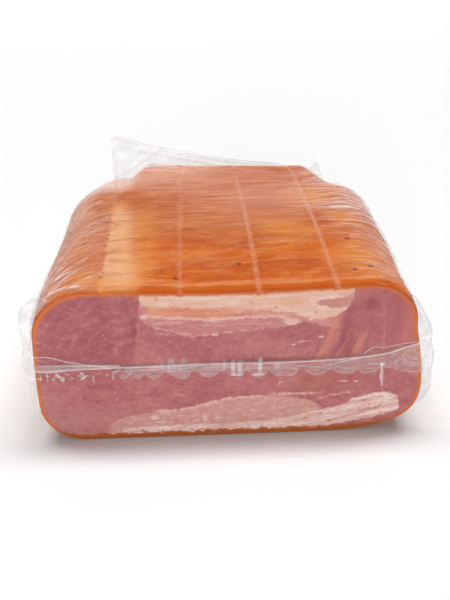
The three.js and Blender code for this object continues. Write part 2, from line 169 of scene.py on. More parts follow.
def sheet(name, front, back, materials):
    """A thin closed sheet from two grids of points, with a strip of faces round its rim."""
    rows, columns, _ = front.shape
    points = np.vstack([front.reshape(-1, 3), back.reshape(-1, 3)])
    index = np.arange(rows * columns).reshape(rows, columns)
    cells = [index[:-1, :-1], index[:-1, 1:], index[1:, 1:], index[1:, :-1]]
    near = np.stack(cells, axis=-1).reshape(-1, 4)
    far = near[:, ::-1] + rows * columns
    rim = np.concatenate([index[0], index[1:, -1], index[-1, -2::-1], index[-2:0:-1, 0]])
    ahead = np.roll(rim, -1)
    wall = np.stack([ahead, rim, rim + rows * columns, ahead + rows * columns], axis=-1)
    faces = near.tolist() + far.tolist() + wall.tolist()
    return finish_mesh(name, points, faces, materials)


def keep_values(piece, name, values):
    """Keeps one number for each point, which a material reads by its name."""
    attribute = piece.data.attributes.new(name, "FLOAT", "POINT")
    attribute.data.foreach_set("value", values.astype(np.float32).ravel())


def grid_normals(grid):
    """Unit normals of a grid of points: the cross product of the ways to the next column
    and to the next row. Columns close."""
    along = np.roll(grid, -1, axis=1) - np.roll(grid, 1, axis=1)
    down = np.gradient(grid, axis=0)
    normal = np.cross(along, down)
    return normal / np.maximum(np.linalg.norm(normal, axis=-1, keepdims=True), 1e-9)


# %% [markdown]
# ## The loaf's shape
# The loaf is one outline, that of the cut face, carried back along Y. Its sizes are the
# same as those of the solid, because the film and the meat both have to fit it: top
# corners of 27 and 25 mm radius, a right flank that leans out, a lower right corner that
# lifts off the table, and a back end that rolls in on all sides. A formula is used
# rather than a sculpted mesh, so that the film can follow the same formula further out.

# %% The outline of the cut face
LENGTH, HEIGHT, MIDDLE, FRONT, BACK = 176.0, 92.0, 46.0, -88.0, 88.0
TOP_LEFT, TOP_RIGHT = -71.3, 69.7
# How far the cut face and the back end are domed, how deep the edge of the face swells
# and by how much, and how deep the back end rolls in
FACE_DOME, BACK_DOME = 0.8, 1.2
EDGE_DEPTH, EDGE_SWELL, ROLL_DEPTH = 9.0, 1.6, 30.0


def arc(x, z, radius, start, end, count=60):
    """A quarter circle round (x, z), from one angle to another, in degrees."""
    angle = np.radians(np.linspace(start, end, count))
    return np.stack([x + radius * np.cos(angle), z + radius * np.sin(angle)], axis=-1)


def bend(start, first, second, end, count=60):
    """A cubic Bezier curve: the four points weighed by the cubic Bernstein polynomials."""
    t = np.linspace(0.0, 1.0, count)[:, None]
    corners = [np.array(point, float) for point in (start, first, second, end)]
    weights = [(1 - t) ** 3, 3 * t * (1 - t) ** 2, 3 * t**2 * (1 - t), t**3]
    return sum(weight * corner for weight, corner in zip(weights, corners))


def face_outline(columns):
    """The outline as equally spaced points, from the top left corner to the right: rows
    of x, z, the two parts of the outward normal, and the length along the outline."""
    x = np.linspace(TOP_LEFT, TOP_RIGHT, 200)
    share = (x - TOP_LEFT) / (TOP_RIGHT - TOP_LEFT)
    top = np.stack([x, HEIGHT + 0.5 * share - 1.5 * np.sin(np.pi * share) ** 2], axis=-1)
    stretches = [
        top,
        arc(TOP_RIGHT, 68.0, 24.5, 90, 0),
        bend((94.2, 68), (96.2, 57), (101.5, 42), (101.5, 28)),
        bend((101.5, 28), (101.5, 19), (98.5, 12), (91, 8)),
        bend((91, 8), (80, 2.5), (68, 0), (51, 0)),
        np.array([[-77.5, 0.0]]),
        arc(-77.5, 23.0, 23.0, -90, -180),
        bend((-100.5, 23), (-100.5, 38), (-99.6, 52), (-98.6, 64.7)),
        arc(TOP_LEFT, 64.7, 27.3, 180, 90),
    ]
    line = np.vstack(stretches)
    step = np.linalg.norm(np.diff(line, axis=0), axis=1)
    line = line[np.concatenate([[True], step > 1e-6])]
    length = np.concatenate([[0.0], np.cumsum(np.linalg.norm(np.diff(line, axis=0), axis=1))])
    station = np.linspace(0.0, length[-1], columns, endpoint=False)
    x, z = (np.interp(station, length, line[:, axis]) for axis in (0, 1))
    across = np.roll(x, -1) - np.roll(x, 1)
    rise = np.roll(z, -1) - np.roll(z, 1)
    size = np.hypot(across, rise)
    return np.stack([x, z, -rise / size, across / size, station])


print("outline:", round(face_outline(520)[4, -1]), "mm round")

# %% The skin of the loaf behind the cut face
RACK_MARKS = [-63.5, -25.0, 13.5, 52.0]
RACK_HALF_WIDTH = 1.7


def back_roll(depth, radius):
    """How far a quarter circle of this radius has rolled in, over the last stretch."""
    into = np.clip(depth - (LENGTH - radius), 0.0, radius)
    return radius - np.sqrt(radius**2 - into**2)


def width_share(x, depth):
    """The left half narrows all the way back, and the right half is widest behind the face."""
    left = -0.03 * smooth(depth, 44.0, 158.4)
    right = 0.026 * smooth(depth, 12.0, 60.0) - 0.013 * smooth(depth, 62.0, 110.0)
    return (1 + np.where(x < 0, left, right)) * (1 - back_roll(depth, ROLL_DEPTH) / 100)


def shoulder_drop(x, depth):
    """Both back shoulders lie below the plateau in the middle of the top."""
    left = 9.3 * smooth(-x, 51.0, 66.0) + 4.0 * smooth(-x, 76.0, 98.0)
    right = 11.0 * smooth(x, 61.0, 79.0) - 3.0 * smooth(x, 80.0, 95.0)
    lean = 2.6 * smooth(x, 0.0, 60.0) * smooth(depth, 60.0, 160.0)
    return left * smooth(depth, 115.0, 163.0) + right * smooth(depth, 128.0, 163.0) + lean


def unevenness(x, z, depth):
    """Two long waves that a pressed loaf keeps from its mould and its folded belly."""
    wave = np.sin(x / 27 + depth / 38) + np.sin(depth / 21 - x / 44 + z / 17)
    fade = smooth(z, 8.0, 30.0) * smooth(depth, 4.0, 30.0) * smooth(LENGTH - depth, 2.0, 25.0)
    return 0.7 * wave * fade


def rack_groove(x, z):
    """A round-bottomed groove, 0.7 mm deep, under each bar of the smoking rack."""
    offset = np.min([np.abs(x - mark) for mark in RACK_MARKS], axis=0)
    return np.where(z > 87, 0.7 * (1 - smooth(offset, 0.0, RACK_HALF_WIDTH)), 0.0)


def edge_swell(depth):
    """The first 9 mm swell by a quarter ellipse, since the slices nearest the knife shrink
    a little."""
    start = np.clip(depth / EDGE_DEPTH, 0.0, 1.0)
    return EDGE_SWELL * np.sqrt(1 - (1 - start) ** 2)


def skin(outline, depth):
    """The skin at each outline point and each depth behind the cut face."""
    x, z, normal_x, normal_z, _ = outline
    depth = np.asarray(depth, float)[:, None]
    out = edge_swell(depth) + unevenness(x, z, depth)
    lift = smooth(z, 0.0, 1.5)
    wide = (x + normal_x * out) * width_share(x, depth)
    high = np.maximum(z + normal_z * out * lift - rack_groove(x, z), 0.0)
    bottom = back_roll(depth, 14.0)
    top = HEIGHT - back_roll(depth, 11.0) - shoulder_drop(x, depth)
    tall = bottom + high / HEIGHT * (top - bottom)
    return np.stack([wide, FRONT + depth + 0 * wide, tall], axis=-1)


def face_relief(x, z, share):
    """The cut face is domed by 0.8 mm, and the big muscle at the upper left stands out."""
    muscle = 0.5 * np.exp(-(((x + 62) / 18) ** 2) - ((z - 72) / 12) ** 2)
    return FACE_DOME * (1 - share**2) + muscle * smooth(1 - share, 0.0, 0.25)


def rim_reach(x, z, middle=(0.0, MIDDLE)):
    """How far the outline lies from a middle, in the direction of each place (x, z)."""
    outline = face_outline(1440)
    across, rise = outline[0] - middle[0], outline[1] - middle[1]
    angle = np.arctan2(z - middle[1], x - middle[0])
    return np.interp(angle, np.arctan2(rise, across), np.hypot(across, rise), period=2 * np.pi)


def face_y(x, z):
    """Where the cut face is at (x, z), and where its edge is for places beyond it."""
    share = np.clip(np.hypot(x, z - MIDDLE) / rim_reach(x, z), 0.0, 1.0)
    return FRONT - face_relief(x, z, share)


def loaf_rings(columns, face_rings, edge_rows, body_rows, roll_rows, back_rings):
    """Rings of points from the middle of the cut face, over its edge, along the skin and
    to the middle of the back end, with each ring's share of the way out from the middle
    of the face, its depth behind the face and the outline it follows."""
    outline = face_outline(columns)
    turn = np.linspace(0.0, np.pi / 2, edge_rows + 1)
    edge = EDGE_DEPTH * (1 - np.cos(turn))
    roll_start = LENGTH - ROLL_DEPTH
    straight = np.linspace(EDGE_DEPTH, roll_start, body_rows + 1)[1:]
    roll = roll_start + ROLL_DEPTH * np.sin(np.linspace(0.0, np.pi / 2, roll_rows + 1)[1:])
    depth = np.concatenate([edge, straight, roll])
    body = skin(outline, depth)

    share = (np.arange(1, face_rings + 1) / (face_rings + 1))[:, None, None]
    centre = np.array([0.0, FRONT, MIDDLE])
    face = centre + (body[0] - centre) * share
    face[..., 1] -= face_relief(face[..., 0], face[..., 2], share[..., 0])
    far_share = (np.arange(back_rings, 0, -1) / (back_rings + 1))[:, None, None]
    far_centre = np.array([0.0, BACK, MIDDLE])
    rear = far_centre + (body[-1] - far_centre) * far_share
    rear[..., 1] += BACK_DOME * (1 - far_share[..., 0] ** 2)
    rings = np.concatenate([face, body, rear])
    depths = np.concatenate([np.zeros(face_rings), depth, np.full(back_rings, LENGTH)])
    return rings, depths, outline


# %% [markdown]
# ## Materials: coats of colour
# A material here is a small tree of nodes. One function adds any node with its settings
# and its inputs, and hands back its output, so the trees read from top to bottom. Meat
# gets its colour in coats, as a model maker paints it: a base, then each coat over what
# is there, thick or thin. A coat's masks are soft steps of a distance or of a noise, and
# they multiply. Patterns use Object coordinates in millimetres, so a number in a pattern
# is a size on the meat.

# %% Add a node, and turn a hex colour to linear light
def add(tree, kind, inputs=None, output=0, **settings):
    """Adds one node with its settings. inputs maps an input's name or number to a value or
    to another node's output. Returns the output with that number or name, if it has any."""
    node = tree.nodes.new(kind)
    for name, value in settings.items():
        setattr(node, name, value)
    for name, value in (inputs or {}).items():
        if isinstance(value, bpy.types.NodeSocket):
            tree.links.new(value, node.inputs[name])
        else:
            node.inputs[name].default_value = value
    return node.outputs[output] if len(node.outputs) else None


def colour(code):
    """The linear colour of an sRGB hex value: the sRGB curve undone for each channel."""
    channels = [int(code[start:start + 2], 16) / 255 for start in (1, 3, 5)]
    linear = [c / 12.92 if c <= 0.04045 else ((c + 0.055) / 1.055) ** 2.4 for c in channels]
    return (*linear, 1.0)


def new_material(name):
    """An empty material and its tree."""
    material = bpy.data.materials.new(name)
    material.use_nodes = True
    material.node_tree.nodes.clear()
    return material, material.node_tree


def in_millimetres(tree):
    """Object coordinates, in millimetres."""
    place = add(tree, "ShaderNodeTexCoord", output="Object")
    return add(tree, "ShaderNodeVectorMath", {0: place, 3: 1000.0}, operation="SCALE")


def finish_meat(tree, base, relief, strength, **looks):
    """Ends a material of meat: its colour, a fine relief from the sum of two noises, and
    other inputs of its shader. A strength of 1 would be a relief of half a millimetre."""
    height = add(tree, "ShaderNodeMath", dict(enumerate(relief)), operation="ADD")
    bumps = {"Strength": strength, "Distance": 0.0005, "Height": height}
    surface = {"Base Color": base, "Normal": add(tree, "ShaderNodeBump", bumps)}
    surface.update({name.replace("_", " "): value for name, value in looks.items()})
    shader = add(tree, "ShaderNodeBsdfPrincipled", surface)
    add(tree, "ShaderNodeOutputMaterial", {"Surface": shader})


# %% Coats, noises and drawn lines
# How far drawn lines may reach, in millimetres, and a number that stands for no limit
SPAN, FAR = 220.0, 99.0


def paint(tree, base, coats):
    """Lays coats over a base, one after another. A coat is a colour, a strength and masks.
    A mask is an output from 0 to 1, or (output, low, high) for a smooth step from 0 at low
    to 1 at high. A coat covers as much as the product of its strength and its masks."""
    for code, cover, *masks in coats:
        for mask in masks:
            if isinstance(mask, tuple):
                step = {"Value": mask[0], "From Min": mask[1], "From Max": mask[2]}
                mask = add(tree, "ShaderNodeMapRange", step, interpolation_type="SMOOTHSTEP")
            cover = add(tree, "ShaderNodeMath", {0: cover, 1: mask}, operation="MULTIPLY")
        mix = {"Factor": cover, "A": base, "B": colour(code)}
        base = add(tree, "ShaderNodeMix", mix, output=2, data_type="RGBA")
    return base


def grain(tree, place, waves, detail=2.0, roughness=0.55):
    """Noise from 0 to 1, with this many waves for each millimetre along X, Y and Z."""
    fitted = add(tree, "ShaderNodeVectorMath", {0: place, 1: waves}, operation="MULTIPLY")
    inputs = {"Vector": fitted, "Scale": 1.0, "Detail": detail, "Roughness": roughness}
    return add(tree, "ShaderNodeTexNoise", inputs)


def wandering(tree, place, waves, reach):
    """Each place moved by up to this many millimetres, so that drawn edges turn ragged."""
    fitted = add(tree, "ShaderNodeVectorMath", {0: place, 3: waves}, operation="SCALE")
    inputs = {"Vector": fitted, "Scale": 1.0, "Detail": 3.0, "Roughness": 0.6}
    move = add(tree, "ShaderNodeTexNoise", inputs, output="Color")
    move = {0: move, 1: [2 * reach] * 3, 2: [-reach] * 3}
    move = add(tree, "ShaderNodeVectorMath", move, operation="MULTIPLY_ADD")
    return add(tree, "ShaderNodeVectorMath", {0: place, 1: move}, operation="ADD")


def over(tree, along, across, points):
    """How many millimetres a place is over a smooth line through points (along, across).
    The Float Curve works from 0 to 1, which stands for -110 to 110 mm both ways."""
    share = {0: along, 1: 1 / SPAN, 2: 0.5}
    share = add(tree, "ShaderNodeMath", share, operation="MULTIPLY_ADD")
    line = add(tree, "ShaderNodeFloatCurve", {"Value": share})
    curve = line.node.mapping.curves[0]
    spots = [(a / SPAN + 0.5, b / SPAN + 0.5) for a, b in points]
    curve.points[0].location, curve.points[1].location = spots[0], spots[-1]
    for spot in spots[1:-1]:
        curve.points.new(*spot)
    line.node.mapping.update()
    under = {0: line, 1: -SPAN, 2: SPAN / 2}
    under = add(tree, "ShaderNodeMath", under, operation="MULTIPLY_ADD")
    return add(tree, "ShaderNodeMath", {0: across, 1: under}, operation="ADD")


def near_line(tree, along, across, points, half_width, soft=0.5, fade=4.0):
    """The masks of a drawn line: close to it, and between its two ends."""
    off = {0: over(tree, along, across, points)}
    off = add(tree, "ShaderNodeMath", off, operation="ABSOLUTE")
    start, end = points[0][0], points[-1][0]
    near = (off, half_width + soft, half_width - soft)
    return near, (along, start, start + fade), (along, end, end - fade)


def between(tree, along, across, bottom, top):
    """The masks of the area over one line and under another."""
    return ((over(tree, along, across, bottom), -0.5, 0.5),
            (over(tree, along, across, top), 0.5, -0.5))


def from_spots(tree, place, spots):
    """The distance from each place to the nearest spot, as a share of that spot's size.
    A spot is its middle and its half sizes, in millimetres."""
    nearest = FAR
    for middle, size in spots:
        fit = {0: place, 1: [1 / s for s in size], 2: [-m / s for m, s in zip(middle, size)]}
        offset = add(tree, "ShaderNodeVectorMath", fit, operation="MULTIPLY_ADD")
        distance = add(tree, "ShaderNodeVectorMath", {0: offset}, "Value", operation="LENGTH")
        nearest = add(tree, "ShaderNodeMath", {0: nearest, 1: distance}, operation="MINIMUM")
    return nearest


def on_face(spots):
    """Spots (x, z, two half sizes) of the cut face, as from_spots takes them."""
    return [((x, FRONT, z), (half_x, FAR, half_z)) for x, z, half_x, half_z in spots]


def on_top(spots, z, reach):
    """Spots (x, y, two half sizes) of the top, which reach up and down from the height z."""
    return [((x, y, z), (half_x, half_y, reach)) for x, y, half_x, half_y in spots]


# %% [markdown]
# ## Smoked rind
# Smoke turned the skin of the loaf orange brown: darkest along the front edge, golden in
# a strip on the left, pinker towards the back, which is partly painted sheen of the film,
# and streaked across by the fibres of the meat. The bars of the rack kept the smoke off,
# so each left a pale line, and a row of small burnt dots follows the leftmost bar. The places
# below are (x, y) on the top.

# %% Places on the rind, as x, y and, for patches, two half sizes
BURNT_DOTS = [(-65.2, -3.6), (-64.9, -14.3), (-64.6, -24.5), (-64.9, -30.4), (-64.9, -38.4),
              (-64.2, -47.0), (-64.7, -50.6), (-64.4, -54.6), (-65.2, -57.6), (-64.0, -61.1),
              (-64.6, -65.0), (-63.5, -68.8), (-64.2, -73.4), (-23.0, -74.0), (15.8, -67.5)]
BURNT_MARKS = [(66.2, -38.8), (63.2, -73.1), (71.7, -69.9), (-27.0, -75.8), (5.3, -62.9)]
DARK_PATCHES = [(-87.0, -67.0, 5.0, 4.5), (-54.0, 31.0, 8.0, 5.0), (-33.0, 44.0, 7.0, 3.0),
                (33.0, -8.0, 22.0, 3.5), (33.5, 49.0, 10.0, 3.0), (12.0, -66.0, 40.0, 10.0),
                (-10.0, -34.0, 20.0, 6.0), (24.0, -34.0, 22.0, 5.0)]
GOLD_PATCHES = [(-72.0, -75.0, 13.0, 8.0), (-44.0, -58.0, 7.5, 24.0), (-45.0, -22.0, 6.0, 22.0),
                (61.0, 66.0, 6.0, 4.0), (68.0, -60.0, 16.0, 20.0), (70.0, -8.0, 10.0, 16.0),
                (58.0, 24.0, 16.0, 18.0), (32.0, -26.0, 15.0, 24.0)]
RACK_LINE_STRENGTHS = (0.20, 0.38, 0.38)
PALE_STRIP = [(-88, -46), (-60, -47), (-30, -50), (0, -54), (30, -61), (60, -64)]


# %% Material: smoked pork rind under tight film
def smoked_rind():
    """Smoked and cooked rind: cured skin with a thin layer of smoke tar. Film lies tight on
    it, so it is dull by itself, with a leathery grain of 1 mm and streaks 30 mm long."""
    material, tree = new_material("smoked pork rind")
    place = in_millimetres(tree)
    x, y, z = (add(tree, "ShaderNodeSeparateXYZ", {0: place}, output=axis) for axis in range(3))
    slanted = {"Vector": place, "Rotation": (0.0, 0.0, math.radians(-5.0))}
    slanted = add(tree, "ShaderNodeMapping", slanted)
    bent = wandering(tree, slanted, 0.04, 3.6)
    streak = grain(tree, bent, (0.034, 0.20, 0.16), 3.0, 0.6)
    fibre = grain(tree, bent, (0.11, 0.45, 0.45), 2.0, 0.6)
    mottle = grain(tree, bent, (0.05, 0.10, 0.10), 3.0, 0.6)
    flank_wrinkle_shading = grain(tree, bent, (0.2, 0.05, 0.28), 3.0, 0.6)
    cloud = grain(tree, place, (0.022, 0.035, 0.04), 2.0)
    pores = grain(tree, place, (0.7, 0.9, 0.9), 2.0, 0.6)
    wander = {0: cloud, 1: 70.0, 2: -35.0}
    wander = add(tree, "ShaderNodeMath", wander, operation="MULTIPLY_ADD")
    along = add(tree, "ShaderNodeMath", {0: y, 1: wander}, operation="ADD")
    inside_dots = over(tree, y, x, PALE_STRIP)
    strip = ((x, -66.5, -62.5), (inside_dots, 6.0, -6.0), (y, 40.0, -10.0))
    gold = from_spots(tree, place, on_top(GOLD_PATCHES, 88.0, 40.0))
    dark = from_spots(tree, place, on_top(DARK_PATCHES, 90.0, 20.0))

    base = paint(tree, colour("#C85C08"), [
        # Front to back: orange at the cut, brownish in the middle, duller behind
        ("#BE6430", 1.0, (along, -66.0, -12.0)),
        ("#C46A44", 0.8, (along, 0.0, 60.0)),
        ("#D08448", 0.54, (mottle, 0.50, 0.70)),
        ("#A8440C", 0.60, (mottle, 0.48, 0.32)),
        # Left to right: browner outside the dots, a pale strip inside them, golden patches
        ("#C07650", 0.75, (x, -62.0, -66.0)),
        ("#DE9A62", 0.75, *strip),
        ("#E9BA92", 0.48, *strip, (cloud, 0.34, 0.66)),
        ("#C4743C", 0.45, *strip, (mottle, 0.46, 0.32)),
        ("#DA8A3C", 0.62, (gold, 1.6, 0.1)),
        ("#E2A88E", 0.72, (x, 30.0, -40.0), (y, 22.0, 66.0)),
        ("#B04A0E", 0.60, (dark, 1.5, 0.2)),
        ("#C98C64", 0.45, (x, 84.0, 96.0), (z, 60.0, 80.0)),
        ("#C8621A", 0.50, (x, -72.0, -86.0), (y, -50.0, -74.0)),
    ])

    # Slanting dark and light lines on both shoulders, and fainter ones along the flanks:
    # painted shade between the film's wrinkles and painted highlights on them
    for turn, shoulder in ((-30.0, (x, -60.0, -74.0)), (6.0, (x, 56.0, 74.0))):
        wrinkle_shading = {"Vector": place, "Rotation": (0.0, 0.0, math.radians(turn))}
        wrinkle_shading = add(tree, "ShaderNodeMapping", wrinkle_shading)
        wrinkle_shading = grain(tree, wrinkle_shading, (0.08, 0.42, 0.26), 3.0, 0.62)
        shoulder = (shoulder, (z, 68.0, 82.0))
        base = paint(tree, base, [("#98441A", 0.55, *shoulder, (wrinkle_shading, 0.53, 0.70)),
                                  ("#E4B090", 0.60, *shoulder, (wrinkle_shading, 0.47, 0.32))])
    for flank in ((x, -84.0, -94.0), (x, 84.0, 94.0)):
        base = paint(tree, base, [("#9A4A20", 0.22, flank, (flank_wrinkle_shading, 0.50, 0.68)),
                                  ("#E0AC8C", 0.22, flank, (flank_wrinkle_shading, 0.48, 0.32))])

    ragged = {0: mottle, 1: 5.0, 2: y}
    ragged = add(tree, "ShaderNodeMath", ragged, operation="MULTIPLY_ADD")
    base = paint(tree, base, [
        # Streaks: the broad ones of the meat, then finer ones, both light and dark
        ("#A63E06", 0.42, (streak, 0.52, 0.70)),
        ("#DE9450", 0.36, (streak, 0.47, 0.28)),
        ("#E2A064", 0.20, (fibre, 0.47, 0.28)),
        ("#9C3E0C", 0.20, (fibre, 0.54, 0.74)),
        ("#E2A878", 0.20, (pores, 0.58, 0.72)),
        ("#8A3C14", 0.20, (pores, 0.40, 0.28)),
        # Paler towards the back: partly the rind's own tone, partly painted sheen of the film
        ("#DCA28C", 0.14, (along, 0.0, 80.0)),
        # The dark strip along the cut, with a light line behind it that is a painted highlight of
        # the film
        ("#BC5208", 0.75, (ragged, -78.5, -81.5), (x, -60.0, -30.0), (x, 74.0, 34.0)),
        ("#E2A070", 0.28, (ragged, -77.0, -79.0), (ragged, -81.5, -79.5)),
        ("#A8480E", 0.60, (y, -85.4, -87.2), (z, 50.0, 70.0)),
    ])
    for mark, strength in zip(RACK_MARKS[1:], RACK_LINE_STRENGTHS):
        offset = add(tree, "ShaderNodeMath", {0: x, 1: mark}, operation="SUBTRACT")
        offset = add(tree, "ShaderNodeMath", {0: offset}, operation="ABSOLUTE")
        base = paint(tree, base, [("#E4AC90", strength, (offset, 2.2, 0.2), (fibre, 0.25, 0.60),
                                   (z, 70.0, 80.0), (y, 100.0, -40.0))])

    loose = wandering(tree, place, 0.45, 1.4)
    dots = from_spots(tree, loose, on_top([(*dot, 0.8, 1.4) for dot in BURNT_DOTS], 92.0, 9.0))
    marks = from_spots(tree, loose, on_top([(*mark, 1.5, 1.3) for mark in BURNT_MARKS], 92.0, 9.0))
    base = paint(tree, base, [("#8C360E", 0.50, (dots, 1.6, 0.3)),
                              ("#6E1E02", 0.85, (marks, 1.4, 0.5))])
    finish_meat(tree, base, (fibre, pores), 0.30, Roughness=0.58, IOR=1.33)
    return material


RIND = smoked_rind()
print(RIND.name, len(RIND.node_tree.nodes), "nodes")

# %% [markdown]
# ## The cut face
# Across the grain the belly shows what it is folded from: a cap of white back fat, two
# bands of paler lean divided by thin seams of fat, a thick core of lean, and the same
# again upside down at the bottom. None of it is regular, so a stock noise can't draw it.
# Each seam is a line drawn through a few points in millimetres, and the noise
# only makes its edge wander and its thickness vary.

# %% Lines across the cut face, as points (x, z) in millimetres
CAP_EDGE = [(-43.5, 84.9), (-34.7, 84.6), (-21.1, 83.6), (4.2, 82.1), (19.7, 80.4),
            (30.7, 78.5), (38.2, 75.0), (45.6, 75.2), (52.8, 77.0), (57, 80), (61, 91)]
NOTCH_TOP = [(40.5, 84.9), (45, 85.7), (52, 86.4), (59, 88.6), (62, 91)]
NOTCH_BOTTOM = [(40.5, 83.6), (45, 82.3), (49.5, 80.8), (56.1, 81.1), (62, 83)]
BAND_LINE = [(-43.8, 79.3), (-35, 78.1), (-21.3, 76.8), (-7.4, 76), (4.2, 76.7), (13, 76.8),
             (23.5, 76.3), (33, 74.2)]
BAND_END = [(-45, 77.2), (-39.4, 72.9), (-31.9, 70.1), (-25, 67.8), (-18, 66.6), (-11, 66.8),
            (-4, 68.3), (12.7, 69.5), (27.3, 71.7), (36, 73.6)]
SECOND_LINE = [(-40.3, 68.8), (-32, 68), (-25, 66.3)]
THIRD_LINE = [(-47.5, 64.8), (-44.9, 63), (-40, 61.5)]
SALMON_TOP = [(21, 84.2), (26.7, 86), (33.9, 85.8), (41, 84.6)]
SALMON_BOTTOM = [(21, 84.0), (26.8, 83.3), (37.7, 83.2), (41, 84.4)]
LOWER_LINE = [(-43.3, 18.6), (-37.9, 18.9), (-25.7, 19.3), (-13.9, 22.4), (-4, 25.4),
              (6.9, 26.2), (23.9, 27.4), (36, 27.2), (49.1, 27.4)]
LOWER_BRANCH = [(43.1, 22.8), (49.3, 24.6), (61, 27.1), (69, 27.6)]
LOWER_ARC = [(-35, 25.8), (-26.3, 29.5), (-18.9, 29.9), (-12, 27.6)]
FATTY_TOP = [(-68, 6), (-60.7, 13.4), (-50, 16.5), (-37.9, 18.7), (-22.8, 19.5), (-11.5, 23.3),
             (-4, 25.7), (17.6, 26.6), (32, 25.4), (44, 21.5), (52, 15)]
FAT_TOP = [(-68, 3.4), (-53.7, 6.4), (-38.5, 7.7), (-23.2, 8.0), (5, 8.2), (10.1, 8.8),
           (26.2, 10.2), (38.1, 12.8), (49.9, 16.4), (61, 19.0), (66, 22.5), (73.3, 24.6),
           (81, 26.4), (88, 24.9), (92, 14)]
FAT_BOTTOM = [(-67, 3.0), (-46.3, 2.6), (-23.3, 1.8), (5, 2.2), (26.5, 2.6), (50.8, 4.0),
              (66.8, 6.6), (78, 9.0), (92, 14)]
PINK_STREAK = [(50.6, 6.8), (62.6, 10.0), (74.4, 13.8), (84, 17.0)]
CROSS_STREAK = [(66.0, 12.6), (69.9, 13.6), (76.9, 15.6), (86, 20.0)]
STAY_LINE = [(30.3, 60.8), (34.8, 61.4), (38.9, 61.9), (42.0, 61.6)]

# %% Lines up the cut face, as points (z, x), and spots as x, z and two half sizes
MUSCLE_EDGE = [(40, -56), (48, -52.5), (56.2, -50.2), (64.8, -47.5), (70.7, -46.5),
               (78.9, -45.2), (90, -44.2)]
# The next line follows a crease of the film down the right of the face; the pale line along it is
# a painted highlight of that crease
FILM_CREASE_GLINT = [(20, 81.3), (37.2, 80.6), (52.5, 78.6), (63.6, 78.2), (76.1, 76.5), (85.6, 75.2)]
SALMON, MAROON = "#CB7F6A", "#8E424C"
STREAKS = [
    (SALMON, [(48, 43.2), (54.5, 46.6), (64.9, 50.4), (75.7, 53.5), (79, 54.6)], 1.8, 0.75),
    (SALMON, [(50, 47.4), (60, 51.6), (72, 55.4)], 0.7, 0.50),
    (SALMON, [(48.8, 62.7), (52.0, 63.4), (59.4, 65.8), (67.3, 68.0)], 1.3, 0.70),
    (SALMON, [(51.2, 66.6), (55.0, 66.9), (63.7, 68.1), (70.3, 69.7)], 0.6, 0.60),
    (SALMON, [(61.0, 56.0), (66.0, 59.5), (71.2, 63.0)], 0.4, 0.55),
    (SALMON, [(50.0, 54.0), (56.0, 56.6), (66.2, 61.3)], 0.7, 0.45),
    (SALMON, [(56.0, 72.4), (61.0, 72.7), (66.0, 72.8)], 0.9, 0.25),
    (MAROON, [(48.4, 51.6), (58.0, 55.0), (69.1, 58.6)], 1.1, 0.50),
    (MAROON, [(47.9, 58.9), (53.8, 61.2), (59.7, 63.3)], 0.8, 0.55),
    (MAROON, [(49.3, 68.8), (60.0, 69.8), (70.0, 70.6)], 1.0, 0.35),
]
MUSCLE_HEART = (-66.0, 64.0, 15.0, 11.0)
# The tall white spot at x 79.6, z 38 lies on that crease below the weld and is a painted highlight
# too
WHITE_SPOTS = [(-42.8, 78.6, 1.8, 1.3), (31.6, 59.9, 1.2, 0.7), (45.6, 63.8, 1.4, 1.0),
               (59.4, 34.6, 2.6, 0.7), (65.8, 34.4, 1.4, 0.6), (26.0, 35.4, 0.7, 0.6),
               (30.0, 73.4, 4.2, 1.6), (-8.6, 66.6, 1.6, 0.9), (79.6, 38.0, 0.9, 4.5),
               (-41.4, 14.2, 2.2, 1.6), (-38.4, 10.6, 3.4, 0.7), (-14.1, 13.0, 1.2, 2.2)]
ORANGE_SPOTS = [(-36.5, 88.4, 0.8, 0.6), (9.4, 85.1, 0.8, 0.6), (21.8, 81.8, 0.9, 0.6),
                (42.2, 78.6, 0.9, 0.7), (37.6, 75.6, 0.9, 0.8), (48.8, 13.4, 1.2, 0.8),
                (41.0, 9.8, 1.2, 0.9), (54.4, 7.6, 1.3, 0.8), (72.0, 21.0, 1.6, 0.9)]
DARK_SPOTS = [(69.2, 82.8, 3.6, 3.8), (-52.3, 47.4, 9.0, 1.8), (58.6, 62.0, 3.6, 12.0),
              (-48.6, 68.5, 1.6, 9.0), (-69.0, 26.6, 3.4, 0.8), (20.0, 50.5, 26.0, 1.6)]


# %% [markdown]
# ## Lean and fat
# Cured lean is a soft, slightly purple pink that light enters a little way, and back fat
# is nearly white with a warm tint. Both are wet under the film. The coats go on as the
# meat is built: lean first, then the paler bands, then each seam of fat, then the rind
# that closes the rim.

